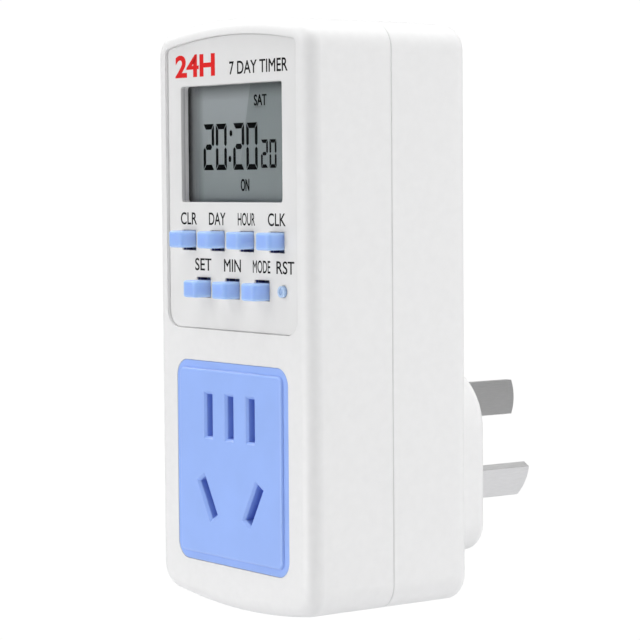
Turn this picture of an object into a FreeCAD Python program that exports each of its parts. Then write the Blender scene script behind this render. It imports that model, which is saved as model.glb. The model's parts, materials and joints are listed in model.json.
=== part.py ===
import FreeCAD, Part
import math
import os
import Sketcher

# Plug-in timer socket: a flat three-pin plug, a timer with a display and keys, and a socket.
# Millimetres, +Z up. The origin is the centre of the plug's pins on the plug's back face,
# which rests on the wall socket. +Y points into the wall and the front of the case faces -Y.
# Heights above the plug's back face, towards the front, are called "stand" below: stand = -Y.

SIZES = {
    # case
    "case_width": 46.0,
    "case_depth": 33.6,
    "front_depth": 17.0,
    "case_crown": 78.1,
    "case_drop": 22.9,
    "arch_radius": 130.0,
    "corner_radius": 4.5,
    "front_edge_radius": 2.6,
    "rear_edge_radius": 2.4,
    "wall": 2.0,
    "lip_height": 1.2,
    "lip_thick": 0.9,
    "lip_gap": 0.1,
    "parting_bevel": 0.15,
    # plug boss on the back of the case
    "boss_height": 8.1,
    "boss_width": 36.2,
    "boss_crown": 18.0,
    "boss_drop": 14.5,
    "boss_top_radius": 11.0,
    "boss_bottom_radius": 5.0,
    "boss_rim_radius": 2.0,
    "plug_face_thick": 3.0,
    # plug pins and the socket's holes, on the national pattern
    "earth_rise": 10.31,
    "pole_spread": 6.86,
    "pole_drop": 3.96,
    "pole_tilt": 30.0,
    "two_pin_spread": 6.35,
    "blade_width": 6.3,
    "blade_thick": 1.5,
    "pole_pin_length": 18.0,
    "earth_pin_length": 21.0,
    "tip_radius": 8.5,
    "shoulder_width": 8.4,
    "shoulder_thick": 3.4,
    "shoulder_depth": 1.2,
    "tab_width": 5.0,
    "tab_thick": 1.0,
    "tab_length": 5.8,
    # control plate in its recess
    "plate_width": 39.2,
    "plate_crown": 75.3,
    "plate_base": 25.1,
    "plate_arch_radius": 118.0,
    "plate_top_corner": 1.0,
    "plate_base_corner": 3.0,
    "recess_depth": 0.5,
    "plate_thick": 0.8,
    "plate_edge": 0.25,
    "ledge_thick": 1.3,
    # display
    "display_width": 30.35,
    "display_across": -0.27,
    "display_height": 20.0,
    "display_level": 57.0,
    "display_corner": 0.5,
    "window_margin": 1.1,
    "window_thick": 0.6,
    "window_gap": 0.1,
    "lcd_gap": 0.1,
    "lcd_margin": 1.3,
    "lcd_thick": 2.2,
    "reflector_thick": 0.3,
    "zebra_width": 1.8,
    "holder_wall": 1.0,
    "holder_gap": 0.1,
    # keys
    "key_width": 4.2,
    "key_height": 2.9,
    "key_proud": 3.2,
    "key_spacing": 8.8,
    "key_side_radius": 0.9,
    "key_edge_radius": 0.4,
    "slot_side_gap": 0.06,
    "slot_height": 3.5,
    "slot_shift": 0.2,
    "upper_row": 40.4,
    "lower_row": 32.3,
    "flange_extra": 0.7,
    "flange_thick": 0.8,
    "flange_gap": 0.05,
    "stem_size": 2.2,
    "reset_across": 15.0,
    "reset_radius": 0.95,
    "reset_hole_gap": 0.06,
    "reset_proud": 0.6,
    "dimple_radius": 0.57,
    "dimple_depth": 0.25,
    "reset_flange_radius": 1.8,
    # switches and boards
    "switch_size": 6.0,
    "switch_height": 3.5,
    "plunger_radius": 1.65,
    "plunger_gap": 0.15,
    "plunger_proud": 0.8,
    "plunger_depth": 1.0,
    "switch_bore_depth": 1.7,
    "board_standoff": 8.1,
    "board_thick": 1.6,
    "board_edge_gap": 0.8,
    "board_corner": 1.0,
    "board_base": 23.6,
    "power_standoff": 2.5,
    "power_crown": 68.6,
    "power_base": 21.4,
    "power_edge_gap": 1.2,
    # screws
    "case_post_inset": 2.6,
    "case_post_crown": 5.7,
    "case_post_drop": 5.5,
    "front_post_radius": 2.7,
    "rear_post_radius": 3.2,
    "spigot_radius": 2.0,
    "case_screw_radius": 1.45,
    "case_screw_grip": 8.0,
    "case_screw_seat": 5.0,
    "case_head_radius": 2.6,
    "case_head_height": 2.0,
    "case_drive_radius": 1.0,
    "counterbore_gap": 0.3,
    "screw_gap": 0.05,
    "inner_screw_radius": 1.1,
    "inner_screw_length": 5.0,
    "inner_head_radius": 2.0,
    "inner_head_height": 1.2,
    "inner_drive_radius": 0.8,
    "inner_post_radius": 2.1,
    "hole_extra": 0.4,
    "upper_screw_side_inset": 1.6,
    "upper_screw_level": 41.0,
    "lower_screw_side_inset": 5.2,
    "lower_screw_rise": 2.6,
    "power_screw_side_inset": 3.4,
    "power_screw_end_inset": 4.0,
    # socket panel
    "panel_width": 33.4,
    "panel_height": 34.9,
    "panel_level": 2.15,
    "panel_corner": 3.0,
    "panel_gap": 0.04,
    "panel_edge": 0.15,
    "plateau_inset": 1.35,
    "plateau_rise": 0.5,
    "plateau_corner": 1.2,
    "plateau_edge": 0.42,
    "panel_flange": 0.9,
    "panel_flange_thick": 1.6,
    "slot_width": 1.9,
    "slot_length": 7.3,
    "slot_chamfer": 0.45,
    # contacts and their carrier
    "carrier_width": 29.2,
    "carrier_crown": 17.4,
    "carrier_drop": 14.0,
    "carrier_back": 19.0,
    "carrier_floor": 1.0,
    "pole_floor": 3.6,
    "cell_gap": 0.3,
    "leaf_gap": 0.05,
    "leaf_thick": 0.6,
    "leaf_extra": 0.1,
    "leaf_setback": 2.8,
    "strap_thick": 0.8,
    "strap_width": 4.0,
    "tail_width": 3.0,
    "tail_length": 1.4,
    "live_tail_across": 10.8,
    "live_tail_level": 4.0,
    "carrier_web": 2.0,
    "tail_gap": 0.1,
    "carrier_screw_level": -8.5,
    "carrier_screw_spacing": 9.0,
    "rib_thick": 1.2,
    "upper_rib_width": 9.0,
    "lower_rib_width": 20.0,
    # plate that holds the pins
    "retainer_width": 26.4,
    "retainer_crown": 14.5,
    "retainer_drop": 8.5,
    "retainer_corner": 4.0,
    "retainer_thick": 2.0,
    "tab_gap": 0.1,
    "retainer_screw": 11.0,
    "retainer_screw_level": 8.5,
    # wires
    "wire_radius": 1.0,
    "wire_bend": 2.0,
    "wire_lift": 1.6,
    "feed_pad_across": 8.6,
    "switched_pad_across": 12.6,
    "pad_level": 23.8,
    # relay
    "relay_width": 19.0,
    "relay_depth": 15.2,
    "relay_level": 34.0,
    "relay_height": 14.0,
    "relay_base_thick": 1.5,
    "relay_wall": 0.8,
    "yoke_thick": 1.2,
    "yoke_width": 9.0,
    "yoke_edge": -8.3,
    "core_radius": 2.0,
    "core_gap": 0.1,
    "tube_thick": 0.6,
    "bobbin_flange": 8.6,
    "bobbin_flange_thick": 0.8,
    "coil_radius": 4.1,
    "armature_stand": 11.5,
    "armature_thick": 1.0,
    "armature_reach": 4.6,
    "armature_width": 7.0,
    "armature_seat_gap": 0.2,
    "pole_gap": 0.7,
    "spring_thick": 0.3,
    "spring_reach": 8.0,
    "spring_start": -6.0,
    "spring_width": 3.6,
    "contact_radius": 1.2,
    "contact_height": 0.6,
    "contact_across": 7.0,
    "contact_gap": 1.0,
    "terminal_width": 3.0,
    "terminal_thick": 1.4,
    # other parts on the boards
    "film_width": 18.0,
    "film_thick": 8.5,
    "film_height": 13.5,
    "film_level": 58.0,
    "can_radius": 4.0,
    "can_height": 11.5,
    "can_across": 13.0,
    "parts_level": 47.2,
    "diode_radius": 1.35,
    "diode_length": 5.0,
    "diode_start": -15.6,
    "diode_spacing": 3.2,
    "resistor_radius": 1.2,
    "resistor_length": 6.2,
    "resistor_start": -2.6,
    "resistor_spacing": 3.2,
    "lead_radius": 0.35,
    "lying_lead_radius": 0.315,
    "lead_span": 9.6,
    "lead_lift": 0.4,
    "disc_radius": 4.2,
    "disc_thick": 3.6,
    "disc_inset": 5.4,
    "disc_lift": 0.8,
    "fuse_radius": 1.7,
    "fuse_length": 7.0,
    "fuse_across": -14.5,
    "cell_radius": 5.75,
    "cell_height": 5.2,
    "cell_across": -11.5,
    "cell_tab": 0.3,
    "cell_tab_width": 3.2,
    "chip_size": 9.0,
    "chip_thick": 1.4,
    "chip_across": 9.0,
    "chip_leg_reach": 0.8,
    "chip_leg_width": 0.5,
    "chip_leg_thick": 0.25,
    "crystal_radius": 1.0,
    "crystal_length": 6.0,
    "crystal_across": 0.0,
    "link_level": 66.0,
    "link_spacing": 2.54,
    "link_pin": 0.64,
    "link_block": 2.5,
}
KEY_ROWS = {
    "upper": ("clear_key", "day_key", "hour_key", "clock_key"),
    "lower": ("set_key", "minute_key", "mode_key"),
}
CHIP_LEGS = 6
LINK_PINS = 5
TOLERANCE = 0.001
VECTOR = FreeCAD.Vector


class Size:
    """A length with its number and the spreadsheet expression that it comes from."""

    def __init__(self, number, text):
        self.number = number
        self.text = text

    def __add__(self, other):
        return joined(self, "+", other)

    def __radd__(self, other):
        return joined(other, "+", self)

    def __sub__(self, other):
        return joined(self, "-", other)

    def __rsub__(self, other):
        return joined(other, "-", self)

    def __mul__(self, other):
        return joined(self, "*", other)

    def __rmul__(self, other):
        return joined(other, "*", self)

    def __truediv__(self, other):
        return joined(self, "/", other)

    def __neg__(self):
        return Size(-self.number, f"(0 - {self.text})")


def as_size(item):
    """A plain number becomes a size too, so that both can be added up."""
    if isinstance(item, Size):
        return item
    return Size(float(item), f"({float(item)})")


def joined(left, sign, right):
    left = as_size(left)
    right = as_size(right)
    results = {
        "+": left.number + right.number,
        "-": left.number - right.number,
        "*": left.number * right.number,
        "/": left.number / right.number if right.number else 0.0,
    }
    return Size(results[sign], f"({left.text} {sign} {right.text})")


def root_of(item):
    return Size(math.sqrt(item.number), f"sqrt({item.text})")


def sine(angle):
    return Size(math.sin(math.radians(angle.number)), f"sin({angle.text})")


def cosine(angle):
    return Size(math.cos(math.radians(angle.number)), f"cos({angle.text})")


doc = FreeCAD.newDocument("timer_socket")
sheet = doc.addObject("Spreadsheet::Sheet", "sizes")
size = {}
for row, (word, number) in enumerate(SIZES.items(), start=1):
    sheet.set(f"A{row}", word)
    sheet.set(f"B{row}", str(number))
    sheet.setAlias(f"B{row}", word)
    size[word] = Size(number, f"sizes.{word}")
doc.recompute()
nodes = {}

# Stands of the main planes, counted forwards from the plug's back face.
front = size["case_depth"] + size["boss_height"]
rear = size["boss_height"]
parting = front - size["front_depth"]
rear_inner = rear + size["wall"]
plate_front = front - size["recess_depth"]
plate_back = plate_front - size["plate_thick"]
wall_inner = plate_back - size["ledge_thick"]
window_front = wall_inner + size["window_thick"]
lcd_front = wall_inner - size["lcd_gap"]
lcd_back = lcd_front - size["lcd_thick"]
board_front = wall_inner - size["board_standoff"]
board_back = board_front - size["board_thick"]
power_back = rear_inner + size["power_standoff"]
power_front = power_back + size["board_thick"]
switch_front = board_front + size["switch_height"]
plunger_front = switch_front + size["plunger_proud"]
post_meeting = parting + size["lip_height"]
retainer_back = size["plug_face_thick"] + size["shoulder_depth"]
retainer_front = retainer_back + size["retainer_thick"]
tab_end = retainer_back + size["tab_length"]
plateau_front = front + size["plateau_rise"]
panel_back = wall_inner - size["panel_flange_thick"]
pole_cell_floor = size["carrier_back"] + size["pole_floor"]
earth_cell_floor = size["carrier_back"] + size["carrier_floor"]
leaf_end = panel_back - size["leaf_setback"]
tail_end = size["carrier_back"] - size["tail_length"]
half_case = size["case_width"] / 2
half_boss = size["boss_width"] / 2
case_screw_across = half_case - size["wall"] - size["case_post_inset"]
case_screw_top = size["case_crown"] - size["case_post_crown"]
case_screw_bottom = size["case_post_drop"] - size["case_drop"]
holder_half_width = (size["display_width"] / 2 + size["lcd_margin"] + size["holder_gap"]
                     + size["holder_wall"])
holder_half_height = (size["display_height"] / 2 + size["lcd_margin"] + size["holder_gap"]
                      + size["holder_wall"])
board_crown = size["display_level"] + holder_half_height
board_half_width = half_case - size["wall"] - size["board_edge_gap"]
power_half_width = half_case - size["wall"] - size["power_edge_gap"]


def bind(thing, prop, item):
    thing.setExpression(prop, as_size(item).text)


def register(thing, label):
    thing.Label = label
    nodes[label] = thing
    return thing


def new_body(label):
    return register(doc.addObject("PartDesign::Body", "Body"), label)


def sketch_on(body, stand, role="XZ_Plane"):
    """A sketch across the case at a stand; its own X and Y run along X and Z."""
    plane = next(item for item in body.Origin.OriginFeatures if item.Role == role)
    sketch = body.newObject("Sketcher::SketchObject", "Sketch")
    sketch.AttachmentSupport = [(plane, "")]
    sketch.MapMode = "FlatFace"
    bind(sketch, "AttachmentOffset.Base.z", stand)
    return sketch


def measure(sketch, kind, item, *where):
    """Add one driving constraint and tie it to its size."""
    item = as_size(item)
    number = math.radians(item.number) if kind == "Angle" else item.number
    index = sketch.addConstraint(Sketcher.Constraint(kind, *where, number))
    name = f"size{index}"
    sketch.renameConstraint(index, name)
    text = f"{item.text} * 1 deg" if kind == "Angle" else item.text
    sketch.setExpression(f"Constraints.{name}", text)


def place_point(sketch, element, end, across, level):
    measure(sketch, "DistanceX", across, -1, 1, element, end)
    measure(sketch, "DistanceY", level, -1, 1, element, end)


def arc(across, level, radius, start, stop):
    circle = Part.Circle(VECTOR(across, level, 0), VECTOR(0, 0, 1), radius)
    return Part.ArcOfCircle(circle, start, stop)


def line(start, stop):
    return Part.LineSegment(VECTOR(*start, 0), VECTOR(*stop, 0))


def close_smoothly(sketch, elements):
    """Each end runs on into the next element without a kink, all the way round."""
    for index in range(len(elements)):
        following = (index + 1) % len(elements)
        sketch.addConstraint(Sketcher.Constraint("Tangent", index, 2, following, 1))


def rounded_rectangle(left, right, low, high, radius, low_radius=None):
    """An outline with round corners; the lower two can have a radius of their own."""
    low_radius = radius if low_radius is None else low_radius
    a, b, c, e, r, q = (as_size(item).number for item in (left, right, low, high, radius, low_radius))

    def draw(sketch):
        turn = math.pi / 2
        elements = [line((b, c + q), (b, e - r)), arc(b - r, e - r, r, 0, turn),
                    line((b - r, e), (a + r, e)), arc(a + r, e - r, r, turn, 2 * turn),
                    line((a, e - r), (a, c + q)), arc(a + q, c + q, q, 2 * turn, 3 * turn),
                    line((a + q, c), (b - q, c)), arc(b - q, c + q, q, 3 * turn, 4 * turn)]
        sketch.addGeometry(elements, False)
        close_smoothly(sketch, elements)
        for index, kind in ((0, "Vertical"), (2, "Horizontal"), (4, "Vertical"), (6, "Horizontal")):
            sketch.addConstraint(Sketcher.Constraint(kind, index))
        for index, item in ((1, radius), (3, radius), (5, low_radius), (7, low_radius)):
            measure(sketch, "Radius", item, index)
        measure(sketch, "DistanceX", right, -1, 1, 0, 1)
        measure(sketch, "DistanceX", left, -1, 1, 4, 1)
        measure(sketch, "DistanceY", high, -1, 1, 2, 1)
        measure(sketch, "DistanceY", low, -1, 1, 6, 1)
    return draw


def rectangle(left, right, low, high):
    a, b, c, e = (as_size(item).number for item in (left, right, low, high))

    def draw(sketch):
        first = sketch.GeometryCount
        corners = [(a, c), (b, c), (b, e), (a, e)]
        for index in range(4):
            sketch.addGeometry(line(corners[index], corners[(index + 1) % 4]), False)
        for index in range(4):
            following = first + (index + 1) % 4
            sketch.addConstraint(Sketcher.Constraint("Coincident", first + index, 2, following, 1))
            kind = "Vertical" if index % 2 else "Horizontal"
            sketch.addConstraint(Sketcher.Constraint(kind, first + index))
        place_point(sketch, first, 1, left, low)
        place_point(sketch, first + 2, 1, right, high)
    return draw


def circle(across, level, radius):
    def draw(sketch):
        index = sketch.GeometryCount
        centre = VECTOR(as_size(across).number, as_size(level).number, 0)
        shape = Part.Circle(centre, VECTOR(0, 0, 1), as_size(radius).number)
        sketch.addGeometry(shape, False)
        measure(sketch, "Radius", radius, index)
        place_point(sketch, index, 3, across, level)
    return draw


def together(*drawings):
    """Several outlines in one sketch."""
    def draw(sketch):
        for drawing in drawings:
            drawing(sketch)
    return draw


def leaning_slot(across, level, width, length, tilt):
    """A rectangle about its centre whose long sides lean from +Z towards +X by tilt."""
    x, z, w, tall = (as_size(item).number for item in (across, level, width, length))
    lean = math.radians(as_size(tilt).number)
    side = VECTOR(math.cos(lean), -math.sin(lean), 0) * (w / 2)
    up = VECTOR(math.sin(lean), math.cos(lean), 0) * (tall / 2)
    centre = VECTOR(x, z, 0)
    corners = [centre - side - up, centre + side - up, centre + side + up, centre - side + up]

    def draw(sketch):
        first = sketch.GeometryCount
        for index in range(4):
            sketch.addGeometry(Part.LineSegment(corners[index], corners[(index + 1) % 4]), False)
        middle = sketch.addGeometry(Part.Point(centre), True)
        for index in range(4):
            following = first + (index + 1) % 4
            sketch.addConstraint(Sketcher.Constraint("Coincident", first + index, 2, following, 1))
        for index in range(3):
            sketch.addConstraint(Sketcher.Constraint("Perpendicular", first + index, first + index + 1))
        sketch.addConstraint(Sketcher.Constraint("Symmetric", first, 1, first + 2, 1, middle, 1))
        measure(sketch, "Distance", width, first)
        measure(sketch, "Distance", length, first + 1)
        measure(sketch, "Angle", 90 - as_size(tilt), first + 1)
        place_point(sketch, middle, 1, across, level)
    return draw


def arched(half_width, crown, crown_radius, corner, foot, foot_radius=None, foot_corner=None):
    """The case's outline: straight sides, an arched top and an arched or a flat foot.

    crown and foot are the levels of the arches' middles. Without a foot_radius the foot is flat.
    """
    foot_corner = corner if foot_corner is None else foot_corner
    w, top, big, r, low, q = (as_size(item).number
                              for item in (half_width, crown, crown_radius, corner, foot, foot_corner))
    rise = math.sqrt((big - r) ** 2 - (w - r) ** 2)
    lean = math.atan2(rise, w - r)
    top_centre = top - big
    ends = [(w, top_centre + rise), (-w, top_centre + rise)]

    def draw(sketch):
        crown_arcs = [arc(w - r, ends[0][1], r, 0, lean),
                      arc(0, top_centre, big, lean, math.pi - lean),
                      arc(r - w, ends[1][1], r, math.pi - lean, math.pi)]
        if foot_radius is None:
            start = low + q
            foot_parts = [arc(q - w, start, q, math.pi, 1.5 * math.pi),
                          line((q - w, low), (w - q, low)),
                          arc(w - q, start, q, 1.5 * math.pi, 2 * math.pi)]
        else:
            wide = as_size(foot_radius).number
            drop = math.sqrt((wide - q) ** 2 - (w - q) ** 2)
            slope = math.atan2(drop, w - q)
            start = low + wide - drop
            foot_parts = [arc(q - w, start, q, math.pi, math.pi + slope),
                          arc(0, low + wide, wide, math.pi + slope, 2 * math.pi - slope),
                          arc(w - q, start, q, 2 * math.pi - slope, 2 * math.pi)]
        elements = [line((w, start), ends[0]), *crown_arcs, line(ends[1], (-w, start)), *foot_parts]
        sketch.addGeometry(elements, False)
        close_smoothly(sketch, elements)
        for index in (0, 4):
            sketch.addConstraint(Sketcher.Constraint("Vertical", index))
        for index, item in ((1, corner), (2, crown_radius), (3, corner), (5, foot_corner), (7, foot_corner)):
            measure(sketch, "Radius", item, index)
        measure(sketch, "DistanceX", half_width, -1, 1, 0, 1)
        measure(sketch, "DistanceX", -as_size(half_width), -1, 1, 4, 1)
        place_point(sketch, 2, 3, 0, crown - crown_radius)
        if foot_radius is None:
            sketch.addConstraint(Sketcher.Constraint("Horizontal", 6))
            measure(sketch, "DistanceY", foot, -1, 1, 6, 1)
        else:
            measure(sketch, "Radius", foot_radius, 6)
            place_point(sketch, 6, 3, 0, foot + foot_radius)
    return draw


def case_outline(inset):
    return arched(half_case - inset, size["case_crown"] - inset, size["arch_radius"] - inset,
                  size["corner_radius"] - inset, inset - size["case_drop"], size["arch_radius"] - inset)


def boss_outline(inset):
    return rounded_rectangle(inset - half_boss, half_boss - inset, inset - size["boss_drop"],
                             size["boss_crown"] - inset, size["boss_top_radius"] - inset,
                             size["boss_bottom_radius"] - inset)


def pad(body, drawing, low, high):
    """Grow an outline forwards from one stand to a higher one."""
    sketch = sketch_on(body, low)
    drawing(sketch)
    feature = body.newObject("PartDesign::Pad", "Pad")
    feature.Profile = (sketch, [""])
    bind(feature, "Length", as_size(high) - low)
    return feature


def pocket(body, drawing, low, high):
    """Cut an outline away between two stands."""
    sketch = sketch_on(body, high)
    drawing(sketch)
    feature = body.newObject("PartDesign::Pocket", "Pocket")
    feature.Profile = (sketch, [""])
    bind(feature, "Length", as_size(high) - low)
    return feature


def edges_at(shape, test):
    return [f"Edge{number}" for number, edge in enumerate(shape.Edges, start=1) if test(edge)]


def lies_at(edge, stand):
    box = edge.BoundBox
    return abs(box.YMin + stand.number) < TOLERANCE and abs(box.YMax + stand.number) < TOLERANCE


def lies_level(edge, level):
    box = edge.BoundBox
    return abs(box.ZMin - level.number) < TOLERANCE and abs(box.ZMax - level.number) < TOLERANCE


def outer_rim(edge, stand):
    """True for the case's outer edges at a stand, not for those of the wall's inside."""
    if not lies_at(edge, stand):
        return False
    middle = edge.valueAt((edge.FirstParameter + edge.LastParameter) / 2)
    half_wall = size["wall"].number / 2
    return (abs(middle.x) > half_case.number - half_wall
            or middle.z > outer_level(middle.x, 1) - half_wall
            or middle.z < outer_level(middle.x, -1) + half_wall)


def outer_level(across, side):
    """Level of the case's arched top (side 1) or foot (side -1) at a distance from the middle."""
    radius = size["arch_radius"].number
    sag = radius - math.sqrt(radius ** 2 - across ** 2)
    return size["case_crown"].number - sag if side > 0 else sag - size["case_drop"].number


def soften(body, kind, amount, test):
    """Round (Fillet) or bevel (Chamfer) the edges of the body's last feature that pass the test."""
    doc.recompute()
    base = body.Tip
    names = edges_at(base.Shape, test)
    feature = body.newObject(f"PartDesign::{kind}", kind)
    feature.Base = (base, names)
    bind(feature, "Radius" if kind == "Fillet" else "Size", amount)
    return feature


def block(label, x_low, x_high, low, high, z_low, z_high):
    """A box between two stands."""
    box = doc.addObject("Part::Box", "Box")
    box.Label = label
    bind(box, "Length", as_size(x_high) - x_low)
    bind(box, "Width", as_size(high) - low)
    bind(box, "Height", as_size(z_high) - z_low)
    bind(box, "Placement.Base.x", x_low)
    bind(box, "Placement.Base.y", -as_size(high))
    bind(box, "Placement.Base.z", z_low)
    return box


def rod(label, across, level, radius, low, high):
    """A cylinder that runs forwards between two stands."""
    cylinder = doc.addObject("Part::Cylinder", "Cylinder")
    cylinder.Label = label
    cylinder.Placement.Rotation = FreeCAD.Rotation(VECTOR(1, 0, 0), 90)
    bind(cylinder, "Radius", radius)
    bind(cylinder, "Height", as_size(high) - low)
    bind(cylinder, "Placement.Base.x", across)
    bind(cylinder, "Placement.Base.y", -as_size(low))
    bind(cylinder, "Placement.Base.z", level)
    return cylinder


def upright_rod(label, across, stand, radius, z_low, z_high):
    cylinder = doc.addObject("Part::Cylinder", "Cylinder")
    cylinder.Label = label
    bind(cylinder, "Radius", radius)
    bind(cylinder, "Height", as_size(z_high) - z_low)
    bind(cylinder, "Placement.Base.x", across)
    bind(cylinder, "Placement.Base.y", -as_size(stand))
    bind(cylinder, "Placement.Base.z", z_low)
    return cylinder


def fuse(label, *pieces):
    joint = doc.addObject("Part::MultiFuse", "Fusion")
    joint.Label = label
    joint.Shapes = list(pieces)
    return joint


def cut(label, base, *tools):
    tool = tools[0] if len(tools) == 1 else fuse(f"{label} tools", *tools)
    result = doc.addObject("Part::Cut", "Cut")
    result.Label = label
    result.Base = base
    result.Tool = tool
    return result


def group(label, pieces):
    bundle = doc.addObject("Part::Compound", "Group")
    bundle.Links = list(pieces)
    return register(bundle, label)


def mirrored_pairs(across, *levels):
    return [(sign * across, level) for sign in (-1, 1) for level in levels]


# Places that several pieces share.
case_screws = mirrored_pairs(case_screw_across, case_screw_top, case_screw_bottom)
board_screws = (mirrored_pairs(board_half_width - size["upper_screw_side_inset"],
                               size["upper_screw_level"])
                + mirrored_pairs(board_half_width - size["lower_screw_side_inset"],
                                 size["board_base"] + size["lower_screw_rise"]))
power_screws = mirrored_pairs(power_half_width - size["power_screw_side_inset"],
                              size["power_crown"] - size["power_screw_end_inset"],
                              size["power_base"] + size["power_screw_end_inset"])
carrier_screws = [(as_size(0), size["carrier_screw_level"]),
                  (as_size(0), size["carrier_screw_level"] + size["carrier_screw_spacing"])]
retainer_screws = mirrored_pairs(size["retainer_screw"], size["retainer_screw_level"])
pole_places = {"neutral": -1, "live": 1}
key_places = {}
for row_name, names in KEY_ROWS.items():
    for order, key_name in enumerate(names):
        steps = order - (len(names) - 1) / 2
        key_places[key_name] = (steps * size["key_spacing"], size[f"{row_name}_row"],
                                size["slot_shift"] if row_name == "upper" else -size["slot_shift"])
slot_half_width = size["key_width"] / 2 + size["slot_side_gap"]
reset_hole_radius = size["reset_radius"] + size["reset_hole_gap"]
switch_places = {name.replace("_key", "_switch"): place[:2] for name, place in key_places.items()}
switch_places["reset_switch"] = (size["reset_across"], size["lower_row"])


def control_openings():
    """The display's opening, the keys' slots and the reset hole, which two pieces share."""
    middle = size["display_across"]
    half_width = size["display_width"] / 2
    half_height = size["display_height"] / 2
    display = rounded_rectangle(middle - half_width, middle + half_width, size["display_level"] - half_height,
                                size["display_level"] + half_height, size["display_corner"])
    slots = [rectangle(across - slot_half_width, across + slot_half_width,
                       level - size["slot_height"] / 2, level + size["slot_height"] / 2)
             for across, level, shift in key_places.values()]
    return together(display, *slots, circle(size["reset_across"], size["lower_row"], reset_hole_radius))


def plate_outline():
    """The control plate fills its recess, which has the same outline."""
    return arched(size["plate_width"] / 2, size["plate_crown"], size["plate_arch_radius"],
                  size["plate_top_corner"], size["plate_base"], None, size["plate_base_corner"])


def make_front_case():
    body = new_body("front_case")
    pad(body, case_outline(as_size(0)), parting, front)
    soften(body, "Fillet", size["front_edge_radius"], lambda edge: lies_at(edge, front))
    pocket(body, case_outline(size["wall"]), parting, wall_inner)
    soften(body, "Chamfer", size["parting_bevel"], lambda edge: outer_rim(edge, parting))
    pocket(body, plate_outline(), plate_back, front)
    pocket(body, control_openings(), wall_inner, plate_back)
    window_half_width = size["display_width"] / 2 + size["window_margin"] + size["window_gap"]
    window_half_height = size["display_height"] / 2 + size["window_margin"] + size["window_gap"]
    rebate = rectangle(size["display_across"] - window_half_width,
                       size["display_across"] + window_half_width,
                       size["display_level"] - window_half_height,
                       size["display_level"] + window_half_height)
    pocket(body, rebate, wall_inner, window_front)
    opening_half_width = size["panel_width"] / 2 + size["panel_gap"]
    opening_half_height = size["panel_height"] / 2 + size["panel_gap"]
    opening = rounded_rectangle(-opening_half_width, opening_half_width,
                                size["panel_level"] - opening_half_height,
                                size["panel_level"] + opening_half_height,
                                size["panel_corner"] + size["panel_gap"])
    pocket(body, opening, wall_inner, front)
    pad(body, together(*(circle(*place, size["front_post_radius"]) for place in case_screws)),
        post_meeting, wall_inner)
    pad(body, together(*(circle(*place, size["inner_post_radius"]) for place in board_screws)),
        board_front, wall_inner)
    screw_hole = size["case_screw_radius"] + size["screw_gap"]
    pocket(body, together(*(circle(*place, screw_hole) for place in case_screws)),
           post_meeting, parting + size["case_screw_grip"] + size["hole_extra"])
    inner_hole = size["inner_screw_radius"] + size["screw_gap"]
    grip = size["inner_screw_length"] - size["board_thick"] + size["hole_extra"]
    pocket(body, together(*(circle(*place, inner_hole) for place in board_screws)),
           board_front, board_front + grip)


def make_rear_case():
    body = new_body("rear_case")
    pad(body, case_outline(as_size(0)), rear, parting)
    soften(body, "Fillet", size["rear_edge_radius"], lambda edge: lies_at(edge, rear))
    pocket(body, case_outline(size["wall"]), rear_inner, parting)
    pad(body, boss_outline(as_size(0)), as_size(0), rear_inner)
    soften(body, "Fillet", size["boss_rim_radius"], lambda edge: lies_at(edge, as_size(0)))
    pocket(body, boss_outline(size["wall"]), size["plug_face_thick"], rear_inner)
    soften(body, "Chamfer", size["parting_bevel"], lambda edge: outer_rim(edge, parting))
    lip_inset = size["wall"] + size["lip_gap"]
    lip_root = parting - size["wall"]
    pad(body, case_outline(size["wall"] - size["lip_gap"]), lip_root, parting)
    pad(body, case_outline(lip_inset), parting, post_meeting)
    pocket(body, case_outline(lip_inset + size["lip_thick"]), lip_root, post_meeting)
    pad(body, together(*(circle(*place, size["rear_post_radius"]) for place in case_screws)),
        rear_inner, parting)
    pad(body, together(*(circle(*place, size["spigot_radius"]) for place in case_screws)),
        parting, post_meeting - size["lip_gap"])
    pad(body, together(*(circle(*place, size["inner_post_radius"]) for place in power_screws)),
        rear_inner, power_back)
    pad(body, together(*(circle(*place, size["inner_post_radius"]) for place in retainer_screws)),
        size["plug_face_thick"], retainer_back)
    rib_low = size["boss_crown"] - size["wall"]
    upper_rib = rectangle(-size["upper_rib_width"] / 2, size["upper_rib_width"] / 2,
                          rib_low, rib_low + size["rib_thick"])
    rib_high = size["wall"] - size["boss_drop"]
    lower_rib = rectangle(-size["lower_rib_width"] / 2, size["lower_rib_width"] / 2,
                          rib_high - size["rib_thick"], rib_high)
    pad(body, together(upper_rib, lower_rib), rear, size["carrier_back"])
    seat = parting - size["case_screw_seat"]
    counterbore = size["case_head_radius"] + size["counterbore_gap"]
    pocket(body, together(*(circle(*place, counterbore) for place in case_screws)), rear, seat)
    shaft_hole = size["case_screw_radius"] + size["screw_gap"]
    pocket(body, together(*(circle(*place, shaft_hole) for place in case_screws)), seat,
           post_meeting)
    inner_hole = size["inner_screw_radius"] + size["screw_gap"]
    grip = size["inner_screw_length"] - size["board_thick"] + size["hole_extra"] / 2
    pocket(body, together(*(circle(*place, inner_hole) for place in power_screws)),
           power_back - grip, power_back)
    retainer_grip = size["inner_screw_length"] - size["retainer_thick"] + size["hole_extra"] / 2
    pocket(body, together(*(circle(*place, inner_hole) for place in retainer_screws)),
           retainer_back - retainer_grip, retainer_back)
    blade_holes = [leaning_slot(0, size["earth_rise"], size["blade_thick"], size["blade_width"], 0)]
    for side in pole_places.values():
        blade_holes.append(leaning_slot(side * size["pole_spread"], -size["pole_drop"],
                                        size["blade_thick"], size["blade_width"],
                                        side * size["pole_tilt"]))
    pocket(body, together(*blade_holes), as_size(0), size["plug_face_thick"])


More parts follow.
